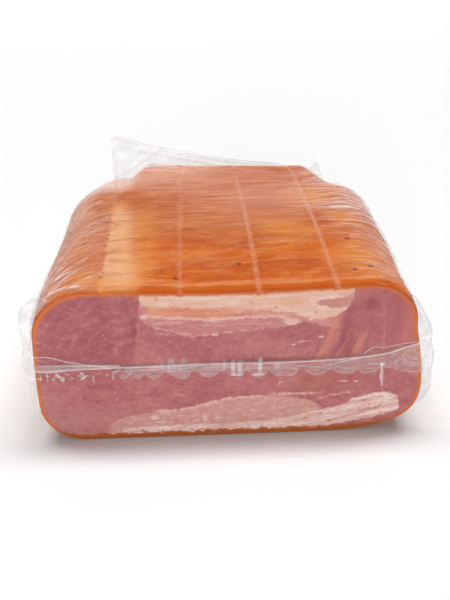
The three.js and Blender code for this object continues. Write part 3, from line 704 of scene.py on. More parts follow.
# %% Coats of lean
def paint_lean(tree, place, moved, x, z, across, up):
    """Red muscle with its fibres, a paler lower left corner and two pale upper bands. Also
    returns three of its noises, which later coats and the relief use again."""
    fibre = grain(tree, place, (0.10, 0.10, 0.15), 3.0, 0.6)
    marble = grain(tree, moved, (0.26, 0.26, 0.42), 3.0, 0.65)
    speck = grain(tree, place, (0.8, 0.8, 0.95), 2.0, 0.6)
    fine = grain(tree, place, (0.45, 0.5, 0.75), 4.0, 0.72)
    patch = grain(tree, place, (0.03, 0.03, 0.045), 2.0)
    upright = grain(tree, place, (0.55, 0.3, 0.12), 2.0, 0.6)
    ring = {"Vector": moved, "Scale": 0.055, "Distortion": 9.0, "Detail": 3.0,
            "Detail Scale": 0.5}
    ring = add(tree, "ShaderNodeTexWave", ring, output=1, wave_type="RINGS",
               rings_direction="Y")
    in_muscle = (over(tree, up, across, MUSCLE_EDGE), 1.0, -1.0)
    heart = from_spots(tree, moved, on_face([MUSCLE_HEART]))
    dark = from_spots(tree, moved, on_face(DARK_SPOTS))

    base = paint(tree, colour("#AC5D60"), [
        ("#B66C6A", 1.0, (patch, 0.40, 0.65)),
        ("#A4525A", 0.85, in_muscle, (z, 44.0, 58.0)),
        ("#9C464E", 0.42, (heart, 1.3, 0.2)),
        ("#C48884", 0.11, in_muscle, (z, 50.0, 60.0), (ring, 0.50, 0.95)),
        ("#BC7E78", 0.60, (z, 34.0, 12.0), (x, -20.0, -60.0)),
        ("#9A7080", 0.35, (patch, 0.42, 0.60), (z, 40.0, 20.0), (x, -70.0, -92.0)),
        # Light and dark grain, from coarse to fine
        ("#C08078", 0.40, (fibre, 0.50, 0.70)),
        ("#94464E", 0.40, (fibre, 0.48, 0.30)),
        ("#CC948C", 0.34, (marble, 0.54, 0.68)),
        ("#8F4248", 0.30, (marble, 0.45, 0.32)),
        ("#D4A09A", 0.20, (fine, 0.54, 0.68)),
        ("#8E424A", 0.22, (fine, 0.46, 0.34)),
        ("#D8ACA6", 0.22, (speck, 0.60, 0.72)),
        # The right part is darker, with an orange tinge at the edge and under the weld
        ("#A44C54", 0.40, (x, 44.0, 62.0), (z, 48.0, 58.0)),
        ("#C88F8C", 0.28, (upright, 0.50, 0.72), (x, -50.0, -38.0), (z, 44.0, 50.0),
         (z, 70.0, 62.0)),
        ("#B06448", 0.30, (z, 46.0, 38.0), (z, 22.0, 32.0), (x, 26.0, 38.0), (x, 72.0, 60.0)),
        ("#CE7A6C", 0.45, (x, 83.0, 90.0), (z, 44.0, 54.0), (z, 86.0, 76.0)),
        ("#8E4046", 0.55, (dark, 1.4, 0.4)),
    ])
    for code, points, half_width, strength in STREAKS:
        line = near_line(tree, up, across, points, half_width, 1.0, 6.0)
        base = paint(tree, base, [(code, strength, *line)])

    # The two paler bands under the cap: pink, then salmon on the left
    below_end = (over(tree, across, up, BAND_END), -0.8, 0.8)
    below_line = (over(tree, across, up, BAND_LINE), -0.6, 0.6)
    ends = ((across, -45.0, -40.0), (across, 58.0, 46.0))
    band = grain(tree, moved, (0.07, 0.4, 0.5), 3.0, 0.62)
    base = paint(tree, base, [
        ("#C47E7A", 0.90, below_end, (across, -46.0, -43.0), (across, 58.0, 36.0)),
        ("#CE8A80", 0.95, below_line, *ends),
        ("#D4886A", 0.95, below_line, (across, -44.0, -38.0), (x, 36.0, -8.0)),
        ("#E2B6A4", 0.42, below_end, *ends, (band, 0.50, 0.64)),
        ("#B4626A", 0.50, below_end, *ends, (band, 0.48, 0.34)),
    ])
    return base, fibre, marble, speck


# %% Coats of fat
# Each seam: its line, its half width, its strength and how broken it is
SEAMS = [(BAND_LINE, 0.75, 0.80, 0.50), (BAND_END, 0.45, 0.60, 0.62),
         (SECOND_LINE, 0.45, 0.60, 0.60), (THIRD_LINE, 0.40, 0.60, 0.60),
         (LOWER_LINE, 0.70, 0.75, 0.55), (LOWER_BRANCH, 0.50, 0.65, 0.60),
         (LOWER_ARC, 0.30, 0.40, 0.60), (STAY_LINE, 0.40, 0.65, 0.50)]


def paint_fat(tree, base, moved, x, z, across, up, marble, speck):
    """The fatty zone and the wedge at the bottom, the thin seams and the cap, and a pale line that
    is a painted highlight along the film's crease.
    """
    under = (over(tree, across, up, FATTY_TOP), 0.9, -0.9)
    zone = (under, (across, -68.0, -62.0), (across, 52.0, 44.0))
    swirl = grain(tree, moved, (0.22, 0.4, 0.55), 4.0, 0.7)
    base = paint(tree, base, [
        ("#CE968A", 0.82, *zone),
        ("#E0BCB0", 0.52, *zone, (swirl, 0.52, 0.66)),
        ("#B26E66", 0.45, *zone, (swirl, 0.46, 0.34)),
        ("#E4C2B8", 0.42, *zone, (speck, 0.58, 0.70)),
    ])
    for points, half_width, strength, broken in SEAMS:
        line = near_line(tree, across, up, points, half_width, 0.7, 6.0)
        base = paint(tree, base, [("#E3BCAE", strength, *line, (speck, 0.15, 0.48),
                                   (marble, broken - 0.25, broken))])
    edge = near_line(tree, up, across, MUSCLE_EDGE, 0.30, 0.8, 6.0)
    crease = near_line(tree, z, x, FILM_CREASE_GLINT, 0.26, 0.5, 6.0)

    under = (over(tree, across, up, FAT_TOP), 0.7, -0.7)
    wedge = (under, (over(tree, across, up, FAT_BOTTOM), -0.5, 0.5), (across, -68.0, -65.0))
    lengthwise = {"Vector": moved, "Rotation": (0.0, math.radians(9.0), 0.0)}
    lengthwise = add(tree, "ShaderNodeMapping", lengthwise)
    lengthwise = grain(tree, lengthwise, (0.05, 0.3, 0.42), 3.0, 0.65)
    base = paint(tree, base, [
        ("#CC9490", 0.40, *edge, (speck, 0.20, 0.50), (z, 58.0, 66.0)),
        # Pale along the film's crease: a painted highlight
        ("#CC9A94", 0.34, *crease, (speck, 0.25, 0.60)),
        ("#DEB8AE", 0.92, *wedge),
        ("#ECD4CC", 0.80, *wedge, (lengthwise, 0.47, 0.60)),
        ("#C27C70", 0.50, *wedge, (lengthwise, 0.45, 0.34)),
        ("#B87068", 0.50, *wedge, (marble, 0.47, 0.34), (x, 60.0, 76.0)),
    ])
    for points in (PINK_STREAK, CROSS_STREAK):
        line = near_line(tree, across, up, points, 0.7, 0.6, 5.0)
        base = paint(tree, base, [("#C67E70", 0.65, *line)])

    cap = ((over(tree, across, up, CAP_EDGE), -1.1, 0.9), (across, -45.0, -43.6))
    cap_grain = grain(tree, moved, (0.06, 0.3, 0.36), 3.0, 0.65)
    notch = between(tree, across, up, NOTCH_BOTTOM, NOTCH_TOP)
    inner = between(tree, across, up, SALMON_BOTTOM, SALMON_TOP)
    white = from_spots(tree, moved, on_face(WHITE_SPOTS))
    orange = from_spots(tree, moved, on_face(ORANGE_SPOTS))
    return paint(tree, base, [
        ("#E0B29C", 0.92, *cap),
        ("#E8CFC6", 0.62, *cap, (cap_grain, 0.44, 0.66)),
        ("#D0907C", 0.45, *cap, (cap_grain, 0.44, 0.30)),
        ("#BC7472", 0.80, *notch, (across, 40.5, 43.5), (across, 72.0, 52.0)),
        ("#DCA084", 0.62, *inner, (across, 21.0, 23.0), (across, 41.0, 36.0)),
        ("#E4C2B6", 0.70, (white, 1.4, 0.5)),
        ("#C4794C", 0.75, (orange, 1.3, 0.5)),
    ])


# %% Material: cut cured pork belly
def cut_belly():
    """Cured pork belly cut across the grain: smooth and moist, with marbling of 2 mm. The
    mesh keeps rim, which is 0 at its edge and 1 at the inner side of the rind."""
    material, tree = new_material("cured pork belly, cut")
    place = in_millimetres(tree)
    moved = wandering(tree, place, 0.30, 1.9)
    x, z = (add(tree, "ShaderNodeSeparateXYZ", {0: place}, output=axis) for axis in (0, 2))
    across, up = (add(tree, "ShaderNodeSeparateXYZ", {0: moved}, output=axis) for axis in (0, 2))
    base, fibre, marble, speck = paint_lean(tree, place, moved, x, z, across, up)
    base = paint_fat(tree, base, moved, x, z, across, up, marble, speck)

    rim = add(tree, "ShaderNodeAttribute", attribute_name="rim", output="Fac")
    ragged = {0: marble, 1: 2.6, 2: -1.3}
    ragged = add(tree, "ShaderNodeMath", ragged, operation="MULTIPLY_ADD")
    ragged = add(tree, "ShaderNodeMath", {0: rim, 1: ragged}, operation="ADD")
    base = paint(tree, base, [
        ("#C46A3C", 0.62, (ragged, 2.4, 1.0), (z, 6.0, 14.0)),
        ("#CB6420", 0.95, (ragged, 1.40, 0.70)),
        ("#A85418", 0.95, (ragged, 1.40, 0.70), (z, 12.0, 3.0)),
        ("#DC6C18", 0.80, (ragged, 1.40, 0.70), (z, 60.0, 74.0), (x, -40.0, -70.0)),
        ("#DE9A74", 0.50, (rim, 0.35, 0.10), (z, 12.0, 24.0), (z, 84.0, 70.0)),
    ])
    finish_meat(tree, base, (fibre, marble), 0.25, Roughness=0.45, IOR=1.36,
                Subsurface_Weight=0.10, Subsurface_Radius=(0.0035, 0.0015, 0.001),
                Subsurface_Scale=1.0)
    return material


CUT_FACE = cut_belly()
print(CUT_FACE.name, len(CUT_FACE.node_tree.nodes), "nodes")

# %% Build the loaf
LOAF_COLUMNS, LOAF_FACE_RINGS = 520, 90
DEEP_INSIDE = 30.0


def build_loaf():
    """One closed mesh: the cut face, the skin and the back end, with fine relief."""
    rings, depth, outline = loaf_rings(LOAF_COLUMNS, LOAF_FACE_RINGS, edge_rows=12,
                                       body_rows=50, roll_rows=16, back_rings=12)
    normals = grid_normals(rings)
    around = outline[4]
    on_skin = smooth(depth, 2.0, 9.0) * (1 - smooth(depth, 172.0, 176.0))
    leather = noise(around / 5.5, depth[:, None] / 3.0, 3) + 0.5 * noise(
        around / 2.4, depth[:, None] / 1.6, 4)
    rings = rings + normals * (0.14 * leather * on_skin[:, None])[..., None]
    rings[..., 2] = np.maximum(rings[..., 2], 0.0)
    front_tip = np.array([0.0, FRONT - face_relief(0.0, MIDDLE, 0.0), MIDDLE])
    back_tip = np.array([0.0, BACK + BACK_DOME, MIDDLE])
    loaf = closed_rings("pancetta_loaf", rings, front_tip, back_tip, [RIND, CUT_FACE])
    inward = rings[LOAF_FACE_RINGS] - rings
    inward = inward[..., 0] * outline[2] + inward[..., 2] * outline[3]
    width = 1.15 - 0.25 * smooth(outline[1], 84.0, 90.0) + 2.2 * smooth(-outline[1], -7.0, 0.0)
    rim = np.where(np.arange(len(rings))[:, None] < LOAF_FACE_RINGS, inward / width, 0.0)
    keep_values(loaf, "rim", np.concatenate([rim.ravel(), [DEEP_INSIDE, 0.0]]))
    quads = (len(rings) - 1) * LOAF_COLUMNS
    on_face = np.zeros(len(loaf.data.polygons), int)
    on_face[:LOAF_FACE_RINGS * LOAF_COLUMNS] = 1
    on_face[quads:quads + LOAF_COLUMNS] = 1
    loaf.data.polygons.foreach_set("material_index", on_face)
    return loaf


loaf = build_loaf()
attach(loaf, "root")
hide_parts("pancetta")

# %% [markdown]
# ## Shrink film
# Shrink film is a clear polyolefin about a twentieth of a millimetre thick. On the meat
# it shows only by what it reflects and by the white streaks of its wrinkles, and beside
# the meat by its folded edges, which look grey. So the material is a transparent one
# that a Fresnel node mixes with a mirror-like one, and three numbers kept on each point
# add what the eye really sees: haze, where the film is doubled or crinkled, and also the
# white of painted glints and reflections; fold, a grey tint where its edge is seen side
# on, which is mostly painted shade; and gloss, which is how much of the mirror shows.

# %% Material: clear shrink film
def shrink_film():
    """Polyolefin film: glossy, clear, milky where it is creased, and white where glints and
    reflections are painted on it. Its two sides lie so close together that only the outer one
    needs to mirror."""
    material, tree = new_material("clear shrink film")
    haze_and_glint = add(tree, "ShaderNodeAttribute", attribute_name="haze_and_glint", output="Fac")
    fold_and_shade = add(tree, "ShaderNodeAttribute", attribute_name="fold_and_shade", output="Fac")
    # A grey tint where film is seen edge on: mostly painted shade, with a little of the film's own
    # tint
    tint = paint(tree, (1.0, 1.0, 1.0, 1.0), [("#E4E6E9", 1.0, fold_and_shade)])
    clear = add(tree, "ShaderNodeBsdfTransparent", {"Color": tint})
    gloss = add(tree, "ShaderNodeBsdfGlossy", {"Color": (1, 1, 1, 1), "Roughness": 0.12})
    outer = add(tree, "ShaderNodeAttribute", attribute_name="gloss", output="Fac")
    mirror = add(tree, "ShaderNodeFresnel", {"IOR": 1.36})
    mirror = add(tree, "ShaderNodeMath", {0: mirror, 1: outer}, operation="MULTIPLY")
    inner = add(tree, "ShaderNodeNewGeometry", output="Backfacing")
    inner = {0: inner, 1: -1.0, 2: 1.0}
    inner = add(tree, "ShaderNodeMath", inner, operation="MULTIPLY_ADD")
    mirror = add(tree, "ShaderNodeMath", {0: mirror, 1: inner}, operation="MULTIPLY")
    film = add(tree, "ShaderNodeMixShader", {"Fac": mirror, 1: clear, 2: gloss})
    # White where the film is milky, and where glints and reflections are painted on it
    milky_and_glint = add(tree, "ShaderNodeBsdfDiffuse", {"Color": colour("#FAF5F4")})
    shader = add(tree, "ShaderNodeMixShader", {"Fac": haze_and_glint, 1: film, 2: milky_and_glint})
    add(tree, "ShaderNodeOutputMaterial", {"Surface": shader})
    return material


FILM = shrink_film()
SKIN_GAP = 0.35

# %% Wrinkles of the film on the loaf
# Each row is one kind of wrinkle: how many, the middle and spread of its place round the
# loaf, from and to which depth, its slope, its length, its width and its height. Places
# round the loaf start at its top left corner: 0 to 141 is the top, 180 to 250 the right
# flank, and -110 to -40 the left flank.
WRINKLES = [
    (110, 147.0, 10.0, 70.0, 172.0, (-0.20, 0.35), (6.0, 16.0), (0.50, 1.0), (0.14, 0.50)),
    (120, 154.0, 9.0, 8.0, 90.0, (-0.50, 0.05), (5.0, 13.0), (0.40, 0.8), (0.08, 0.30)),
    (150, 169.0, 7.0, 10.0, 172.0, (-1.80, -0.50), (4.0, 10.0), (0.45, 0.8), (0.10, 0.40)),
    (90, 195.0, 14.0, 10.0, 172.0, (-3.20, -1.20), (3.0, 9.0), (0.45, 0.9), (0.08, 0.30)),
    (110, -10.0, 8.0, 8.0, 172.0, (0.15, 1.10), (3.0, 13.0), (0.40, 1.0), (0.03, 0.22)),
    (110, -27.0, 8.0, 8.0, 172.0, (0.80, 2.80), (3.0, 9.0), (0.45, 1.0), (0.05, 0.32)),
    (90, -52.0, 14.0, 10.0, 172.0, (1.40, 3.40), (3.0, 9.0), (0.45, 0.9), (0.08, 0.30)),
    (50, 8.0, 12.0, 60.0, 172.0, (0.0, 0.40), (4.0, 12.0), (0.35, 0.7), (0.05, 0.18)),
    (60, 2.0, 13.0, 148.0, 176.0, (-0.10, 0.70), (3.0, 9.0), (0.40, 0.8), (0.10, 0.32)),
    (34, -22.0, 9.0, 3.0, 32.0, (0.40, 1.30), (3.0, 8.0), (0.35, 0.8), (0.20, 0.70)),
    (60, 84.0, 34.0, 150.0, 176.0, (-0.04, 0.14), (4.0, 14.0), (0.35, 0.7), (0.04, 0.19)),
    (80, 70.0, 44.0, 16.0, 170.0, (0.00, 0.12), (9.0, 30.0), (0.7, 1.4), (0.02, 0.07)),
    (40, 34.0, 12.0, 158.0, 174.0, (0.0, 0.15), (3.0, 9.0), (0.35, 0.6), (0.16, 0.44)),
    (90, 320.0, 80.0, 8.0, 172.0, (-0.30, 0.30), (8.0, 26.0), (0.5, 1.0), (0.06, 0.22)),
]

# Creases drawn one by one, as points (round the loaf, depth) with height and half width
DRAWN_CREASES = [
    ([(48.0, 8.6), (71.0, 7.8), (105.7, 7.9), (128.0, 9.6)], 0.16, 0.40),
    ([(2.0, 5.2), (16.0, 6.4), (30.0, 8.6), (48.0, 8.2)], 0.20, 0.45),
    ([(6.0, 8.2), (20.0, 7.4), (34.0, 5.4), (48.0, 5.6)], 0.14, 0.40),
    ([(55.2, 31.8), (70.0, 39.0), (83.9, 43.8), (100.4, 46.4), (113.8, 44.8)], 0.22, 0.45),
    ([(30.0, 20.0), (55.2, 28.5), (74.0, 31.0)], 0.08, 0.60),
    ([(128.0, 9.6), (140.0, 7.5), (152.0, 4.5)], 0.20, 0.50),
    # The six below, at the front left corner, are glints: their white haze is a painted highlight
    ([(-9.0, 20.6), (-14.0, 18.2), (-20.4, 15.8), (-27.0, 12.0)], 0.85, 0.75),
    ([(-8.0, 13.4), (-13.0, 11.2), (-20.0, 9.0)], 0.75, 0.65),
    ([(-8.4, 6.4), (-13.7, 6.0), (-21.0, 6.4)], 0.90, 0.80),
    ([(-6.4, 4.8), (-2.6, 4.6)], 0.95, 1.00),
    ([(-13.0, 29.0), (-20.0, 23.0), (-27.0, 17.0)], 0.70, 0.80),
    ([(-17.0, 33.0), (-25.0, 25.0), (-33.0, 16.0)], 0.60, 0.90),
    ([(116.0, 107.0), (131.0, 109.0), (145.0, 116.0), (158.0, 118.0), (166.0, 110.0)], 0.50, 0.70),
    ([(112.0, 101.0), (131.0, 101.5), (148.0, 106.0), (160.0, 104.0), (167.0, 96.0)], 0.45, 0.60),
    ([(134.0, 122.0), (146.0, 128.0), (158.0, 130.0), (167.0, 124.0)], 0.50, 0.70),
]


def wrinkle_height(around, depth, girth):
    """The sum of all wrinkles: bells a millimetre wide that fade along their length."""
    rng = np.random.default_rng(12)
    height = np.zeros(np.broadcast(around, depth).shape)
    for count, middle, spread, front, back, *ranges in WRINKLES:
        for _ in range(count):
            slope, length, width, size = (rng.uniform(*span) for span in ranges)
            centre, place = rng.normal(middle, spread), rng.uniform(front, back)
            bow = rng.normal(0.0, 0.0015)
            away = (around - centre + girth / 2) % girth - girth / 2
            line = (depth - place - slope * away - bow * away**2) / math.hypot(1.0, slope)
            height += size * np.exp(-((line / width) ** 2) - (away / length) ** 2)
    whole = 0 * height
    wrapped = (around + girth / 2) % girth - girth / 2
    for points, size, half_width in DRAWN_CREASES:
        off = off_line(wrapped + whole, depth + whole, spaced(points, 24))
        height = np.maximum(height, size * bell(off, half_width))
    return height


def off_line(x, z, points):
    """The distance from each place to a line: the least of those to its straight parts."""
    least = np.full(np.shape(x), np.inf)
    for start, end in zip(points[:-1], points[1:]):
        way = end - start
        share = np.clip(((x - start[0]) * way[0] + (z - start[1]) * way[1]) / (way @ way), 0, 1)
        gap = np.hypot(x - start[0] - share * way[0], z - start[1] - share * way[1])
        least = np.minimum(least, gap)
    return least


# %% The film that lies on the loaf
def build_film_skin():
    """The loaf's own surface, 0.35 mm further out, with the wrinkles on top. The haze of a
    wrinkle is stronger than its height tells: creased film scatters light, and the rest of its
    white is a painted highlight along the wrinkle."""
    rings, depth, outline = loaf_rings(columns=360, face_rings=10, edge_rows=10,
                                       body_rows=214, roll_rows=30, back_rings=6)
    around, girth = outline[4], outline[4, -1] + outline[4, 1]
    ridges = wrinkle_height(around, depth[:, None], girth) * smooth(depth, 1.5, 5.0)[:, None]
    ridges = ridges * smooth(LENGTH - depth, 0.0, 4.0)[:, None]
    ridges = ridges * smooth(outline[1], -0.5, 4.0)
    rings = rings + grid_normals(rings) * (SKIN_GAP + ridges)[..., None]
    rings[..., 2] = np.maximum(rings[..., 2], 0.0)
    front_tip = [0.0, face_y(0.0, MIDDLE) - SKIN_GAP, MIDDLE]
    back_tip = [0.0, BACK + BACK_DOME + SKIN_GAP, MIDDLE]
    film = closed_rings("film_skin", rings, front_tip, back_tip, [FILM])
    lively = 0.6 + 0.4 * noise(around / 4, depth[:, None] / 1.5, 8)
    # White along the wrinkles: partly the scatter of creased film, partly painted highlight
    streak = np.clip(ridges * 0.75, 0.0, 0.62) * lively
    on_top = 0.18 + 0.66 * smooth(depth, 40.0, 165.0)[:, None] + 0 * streak
    wrap(film, 0.003 + streak, gloss=on_top)


def wrap(piece, haze_and_glint, fold_and_shade=0.0, gloss=1.0, back_haze=0.3):
    """Every piece of film keeps its haze and painted glints, its grey fold tint of painted
    shade, and its gloss on its points, rides the loaf, stands in for the bag and has the film's
    slot. A sheet's back has less haze."""
    count = len(piece.data.vertices)
    for name, value, share in (("haze_and_glint", haze_and_glint, back_haze), ("fold_and_shade", fold_and_shade, 1.0),
                               ("gloss", gloss, 1.0)):
        value = np.ravel(value + 0 * haze_and_glint)
        value = np.concatenate([value, value * share])[:count]
        value = np.concatenate([value, np.zeros(count - len(value))])
        keep_values(piece, name, value)
    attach(piece, "root")
    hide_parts("bag")


build_film_skin()

# %% [markdown]
# ## The weld across the cut face
# The bag was closed by a weld that runs across the middle of the cut face. The weld is a
# bright double ridge, finer lines lie below it, and the doubled film under it ends in a
# chain of small loops, where it was gathered by the heat. Its lines are drawn in
# millimetres, like the seams of fat, and raise the film as well as make it milky.

# %% The weld's lines, as points (x, z) in millimetres
WELD_MAIN = [(-102, 48.2), (-98.6, 47.7), (-92.9, 47.4), (-86.1, 48.0), (-78.0, 48.5),
             (-68.4, 48.7), (-53.5, 49.2), (-37.1, 49.5), (-16.6, 49.9), (1.9, 49.8),
             (24.4, 49.4), (35.5, 49.5), (52.2, 50.0), (66.1, 50.8), (75.1, 51.7),
             (81.9, 53.0), (89.3, 55.8), (98.6, 58.6), (101.5, 59.2)]
WELD_CHAIN = [(-58.2, 45.6), (-56.9, 42.3), (-54.9, 41.3), (-53.0, 43.4), (-52.1, 45.0),
              (-50.7, 43.0), (-47.2, 41.6), (-45.6, 43.1), (-44.4, 45.0), (-43.0, 42.7),
              (-40.5, 41.3), (-37.9, 41.8), (-35.7, 44.4), (-33.6, 45.7), (-31.6, 44.8),
              (-29.9, 42.5), (-27.6, 41.3), (-22.4, 41.5), (-20.8, 44.7), (-19.2, 45.9),
              (-17.2, 45.2), (-15.2, 42.5), (-9.0, 42.0), (-6.3, 44.1), (-3.2, 45.7),
              (-1.9, 44.3), (-0.6, 42.3), (2.5, 41.5), (5.8, 41.9), (6.6, 43.9), (7.5, 45.6),
              (8.9, 44.5), (10.7, 41.7), (17.0, 41.5), (18.4, 42.8), (19.3, 45.1), (20.7, 43.0),
              (22.6, 41.4), (28.1, 40.7), (33.1, 41.0), (34.0, 42.8), (35.1, 44.7), (38.6, 44.6),
              (40.5, 41.4), (43.1, 40.6), (47.6, 40.4), (50.0, 42.8), (51.8, 45.7), (53.2, 43.3),
              (55.0, 41.6), (58.6, 40.5), (63.5, 40.6), (66.9, 42.9), (69.3, 40.1), (72.1, 40.5),
              (75.6, 41.1), (78.3, 45.3), (81.1, 43.5), (85.3, 42.6), (90.0, 40.5), (94.3, 39.6),
              (100.1, 39.4)]

# Each line's points, how far it stands out, its half width and its haze
WELD_LINES = [
    (WELD_MAIN, 0.85, 0.46, 0.72),
    (WELD_CHAIN, 0.30, 0.24, 0.26),
    ([(-102, 56.4), (-98.1, 56.4), (-92.8, 56.3), (-88.6, 55.2), (-84.1, 53.5), (-76.3, 51.6),
      (-66.9, 50.1), (-63.0, 49.3)], 0.4, 0.38, 0.42),
    ([(-98.0, 54.8), (-95.1, 53.8), (-93.1, 52.4)], 0.3, 0.35, 0.25),
    ([(-98.3, 51.2), (-90, 51.0), (-80, 50.8), (-68, 50.3), (-57, 49.9)], 0.3, 0.45, 0.30),
    ([(-53.5, 48.3), (-36.6, 48.6), (-16.6, 48.5), (1.9, 48.1), (15.9, 48.1)], 0.25, 0.30, 0.38),
    ([(-52.0, 46.9), (-34.1, 47.2), (-16.1, 47.2), (1.9, 46.7), (19.6, 45.9), (33.7, 45.3)],
     0.25, 0.32, 0.34),
    ([(-34.1, 45.6), (-16.1, 45.9), (-3.2, 45.6)], 0.2, 0.28, 0.28),
    ([(29.9, 47.2), (39.9, 46.2), (45.5, 45.5), (56.4, 48.1), (66.2, 50.3)], 0.3, 0.38, 0.30),
    ([(51.1, 45.8), (59.7, 44.0), (66.8, 43.8)], 0.25, 0.32, 0.30),
    ([(68.0, 52.3), (74.5, 56.8), (76.6, 56.3), (87.6, 58.0), (96.4, 59.2), (101.5, 60.2)],
     0.3, 0.36, 0.36),
    ([(84.4, 44.4), (90.9, 54.1)], 0.3, 0.40, 0.30),
    ([(71.5, 46.2), (77.2, 45.6)], 0.3, 0.34, 0.30),
    ([(78.1, 46.4), (79.0, 41.6), (80.3, 31.6)], 0.45, 0.50, 0.55),
    ([(-94.3, 46.8), (-94.1, 43.5)], 0.35, 0.40, 0.40),
    ([(-89.1, 46.5), (-88.4, 43.9), (-86.7, 40.6)], 0.35, 0.40, 0.45),
    ([(-76.5, 45.7), (-75.6, 44.1), (-77.1, 42.5)], 0.35, 0.45, 0.50),
    ([(-70.8, 43.9), (-71.0, 40.0)], 0.3, 0.45, 0.35),
    ([(-60.8, 44.4), (-60.8, 41.5)], 0.3, 0.40, 0.40),
]

# Pale places on the weld, which are painted reflections of its glossy film: x, z, both half sizes
# and haze
WELD_GLARE = [(-30.3, 52.0, 0.9, 1.8, 0.22), (-24.2, 52.0, 1.0, 1.8, 0.24),
                 (0.9, 46.8, 1.1, 4.2, 0.42), (4.3, 46.8, 1.2, 4.2, 0.40),
                 (2.6, 42.3, 3.4, 0.9, 0.35), (14.9, 47.6, 1.2, 4.8, 0.48),
                 (14.0, 42.0, 3.0, 0.8, 0.42), (23.7, 46.8, 1.3, 2.2, 0.20),
                 (79.0, 45.6, 1.0, 1.0, 0.75), (-89.0, 47.6, 5.5, 0.8, 0.25),
                 (51.5, 44.0, 0.6, 0.5, 0.60), (-52.2, 44.4, 0.5, 0.8, 0.45),
                 (-35.2, 49.0, 0.7, 4.2, 0.20), (-31.9, 49.0, 0.8, 4.6, 0.25),
                 (-29.2, 49.0, 0.6, 4.6, 0.19), (-26.1, 48.5, 0.7, 4.0, 0.20),
                 (-3.6, 48.0, 0.9, 4.4, 0.26)]


def weld_looks(x, z):
    """How far the weld stands out of the film around it, and its haze, at each place. Each
    line adds a bell as high as it stands out, and the haze of all is 1 minus the product of
    what each lets through."""
    proud, clear = np.zeros(x.shape), np.ones(x.shape)
    for points, height, half_width, haze_and_glint in WELD_LINES:
        steps = int(4 + np.ptp([x for x, _ in points]))
        near = bell(off_line(x, z, spaced(points, steps)), half_width)
        proud = np.maximum(proud, height * near)
        clear *= 1 - haze_and_glint * near * (0.8 + 0.2 * noise(x / 2.1, z / 2.1, 21))
    for middle_x, middle_z, half_x, half_z, haze_and_glint in WELD_GLARE:
        near = np.exp(-(((x - middle_x) / half_x) ** 4) - ((z - middle_z) / half_z) ** 4)
        clear *= 1 - haze_and_glint * near * (0.85 + 0.15 * noise(x / 0.8, z / 3.0, 22))

    # The doubled film between the chain and the main line, the loose left end above the
    # line, the crumpled right end, and the beads of gathered film under the left end, whose white
    # is partly painted glints
    main, chain = through(x, WELD_MAIN), through(x, WELD_CHAIN)
    doubled = smooth(z, chain - 0.3, chain + 0.4) * smooth(main + 0.4 - z, -0.3, 0.3)
    doubled *= smooth(x, -60.0, -56.0)
    left = smooth(z - main, -0.4, 0.2) * smooth(51.0 - z, -0.4, 0.6) * smooth(-x, 54.0, 62.0)
    crumple = noise(x / 1.3, z / 1.1, 23) * smooth(x, 76.0, 86.0) * doubled
    beads_and_glints = smooth(noise(x / 1.6, z / 1.3, 25), 0.30, 0.65) * smooth(-x, 50.0, 60.0)
    beads_and_glints = beads_and_glints * smooth(main - 1.2 - z, -0.5, 0.5) * smooth(z - main + 7.0, -0.5, 0.5)
    clear *= (1 - (0.13 + 0.08 * noise(x / 4.0, z / 1.2, 24)) * doubled) * (1 - 0.20 * left)
    clear *= (1 - 0.20 * np.maximum(crumple, 0)) * (1 - 0.34 * beads_and_glints)
    proud += 0.16 * doubled + 0.12 * left + 0.22 * crumple + 0.15 * beads_and_glints
    return proud, 1 - clear


def build_weld():
    """The doubled film of the weld, from 10 mm below its main line to 5 mm above it."""
    across = np.linspace(-101.2, 101.2, 560)
    up = np.linspace(0.0, 1.0, 62)[:, None]
    low = [(-102, 39.0), (-60, 39.4), (0, 39.6), (68, 38.6), (76, 30.5), (84, 30.5), (90, 37.0),
           (102, 38.0)]
    high = [(-102, 58.2), (-92, 58.0), (-84, 55.8), (-72, 53.6), (-52, 53.8), (-20, 54.8),
            (20, 53.6), (60, 53.4), (68, 55.0), (76, 59.0), (102, 61.4)]
    low, high = (np.interp(across, *zip(*line)) for line in (low, high))
    x = across + 0 * up
    z = low + (high - low) * up
    proud, haze_and_glint = weld_looks(x, z)
    y = face_y(x, z) - SKIN_GAP
    front = np.stack([x, y - 0.2 - proud, z], axis=-1)
    back = np.stack([x, y - 0.05, z], axis=-1)
    weld = sheet("film_weld", front, back, [FILM])
    wrap(weld, haze_and_glint, gloss=smooth(haze_and_glint, 0.02, 0.30), back_haze=0.0)


build_weld()

# %% [markdown]
# ## Ears, side pleats, rear weld and tail
# Where the bag was wider than the loaf it stands out: an ear beside each end of the cut
# face, a pleat along each side, and behind the loaf the sealed tail, whose left corner
# shows above the top. Film seen edge on looks grey, so their rims get a painted shade and
# are darker than their middles, and each crease that runs along them is a thin milky line.

# %% The ears beside the cut face
LEFT_EAR = [(-86.0, 92.6), (-92.5, 90.6), (-97.8, 88.0), (-102.6, 83.4), (-104.4, 78.0),
            (-104.8, 71.0), (-104.4, 62.0), (-105.7, 55.5), (-106.2, 49.5), (-104.5, 40.0),
            (-105.3, 26.0), (-103.8, 17.5), (-100.2, 11.5), (-95.0, 7.8)]
RIGHT_EAR = [(93.5, 9.4), (100.0, 13.0), (105.4, 19.0), (108.0, 26.5), (107.0, 38.0),
             (106.7, 50.0), (104.2, 58.0), (103.4, 64.5), (99.6, 72.5), (95.0, 80.0),
             (90.8, 85.6), (85.5, 89.4)]
EAR_CREASES = [0.12, 0.26, 0.40, 0.55, 0.70, 0.84]
EAR_ROWS = 260


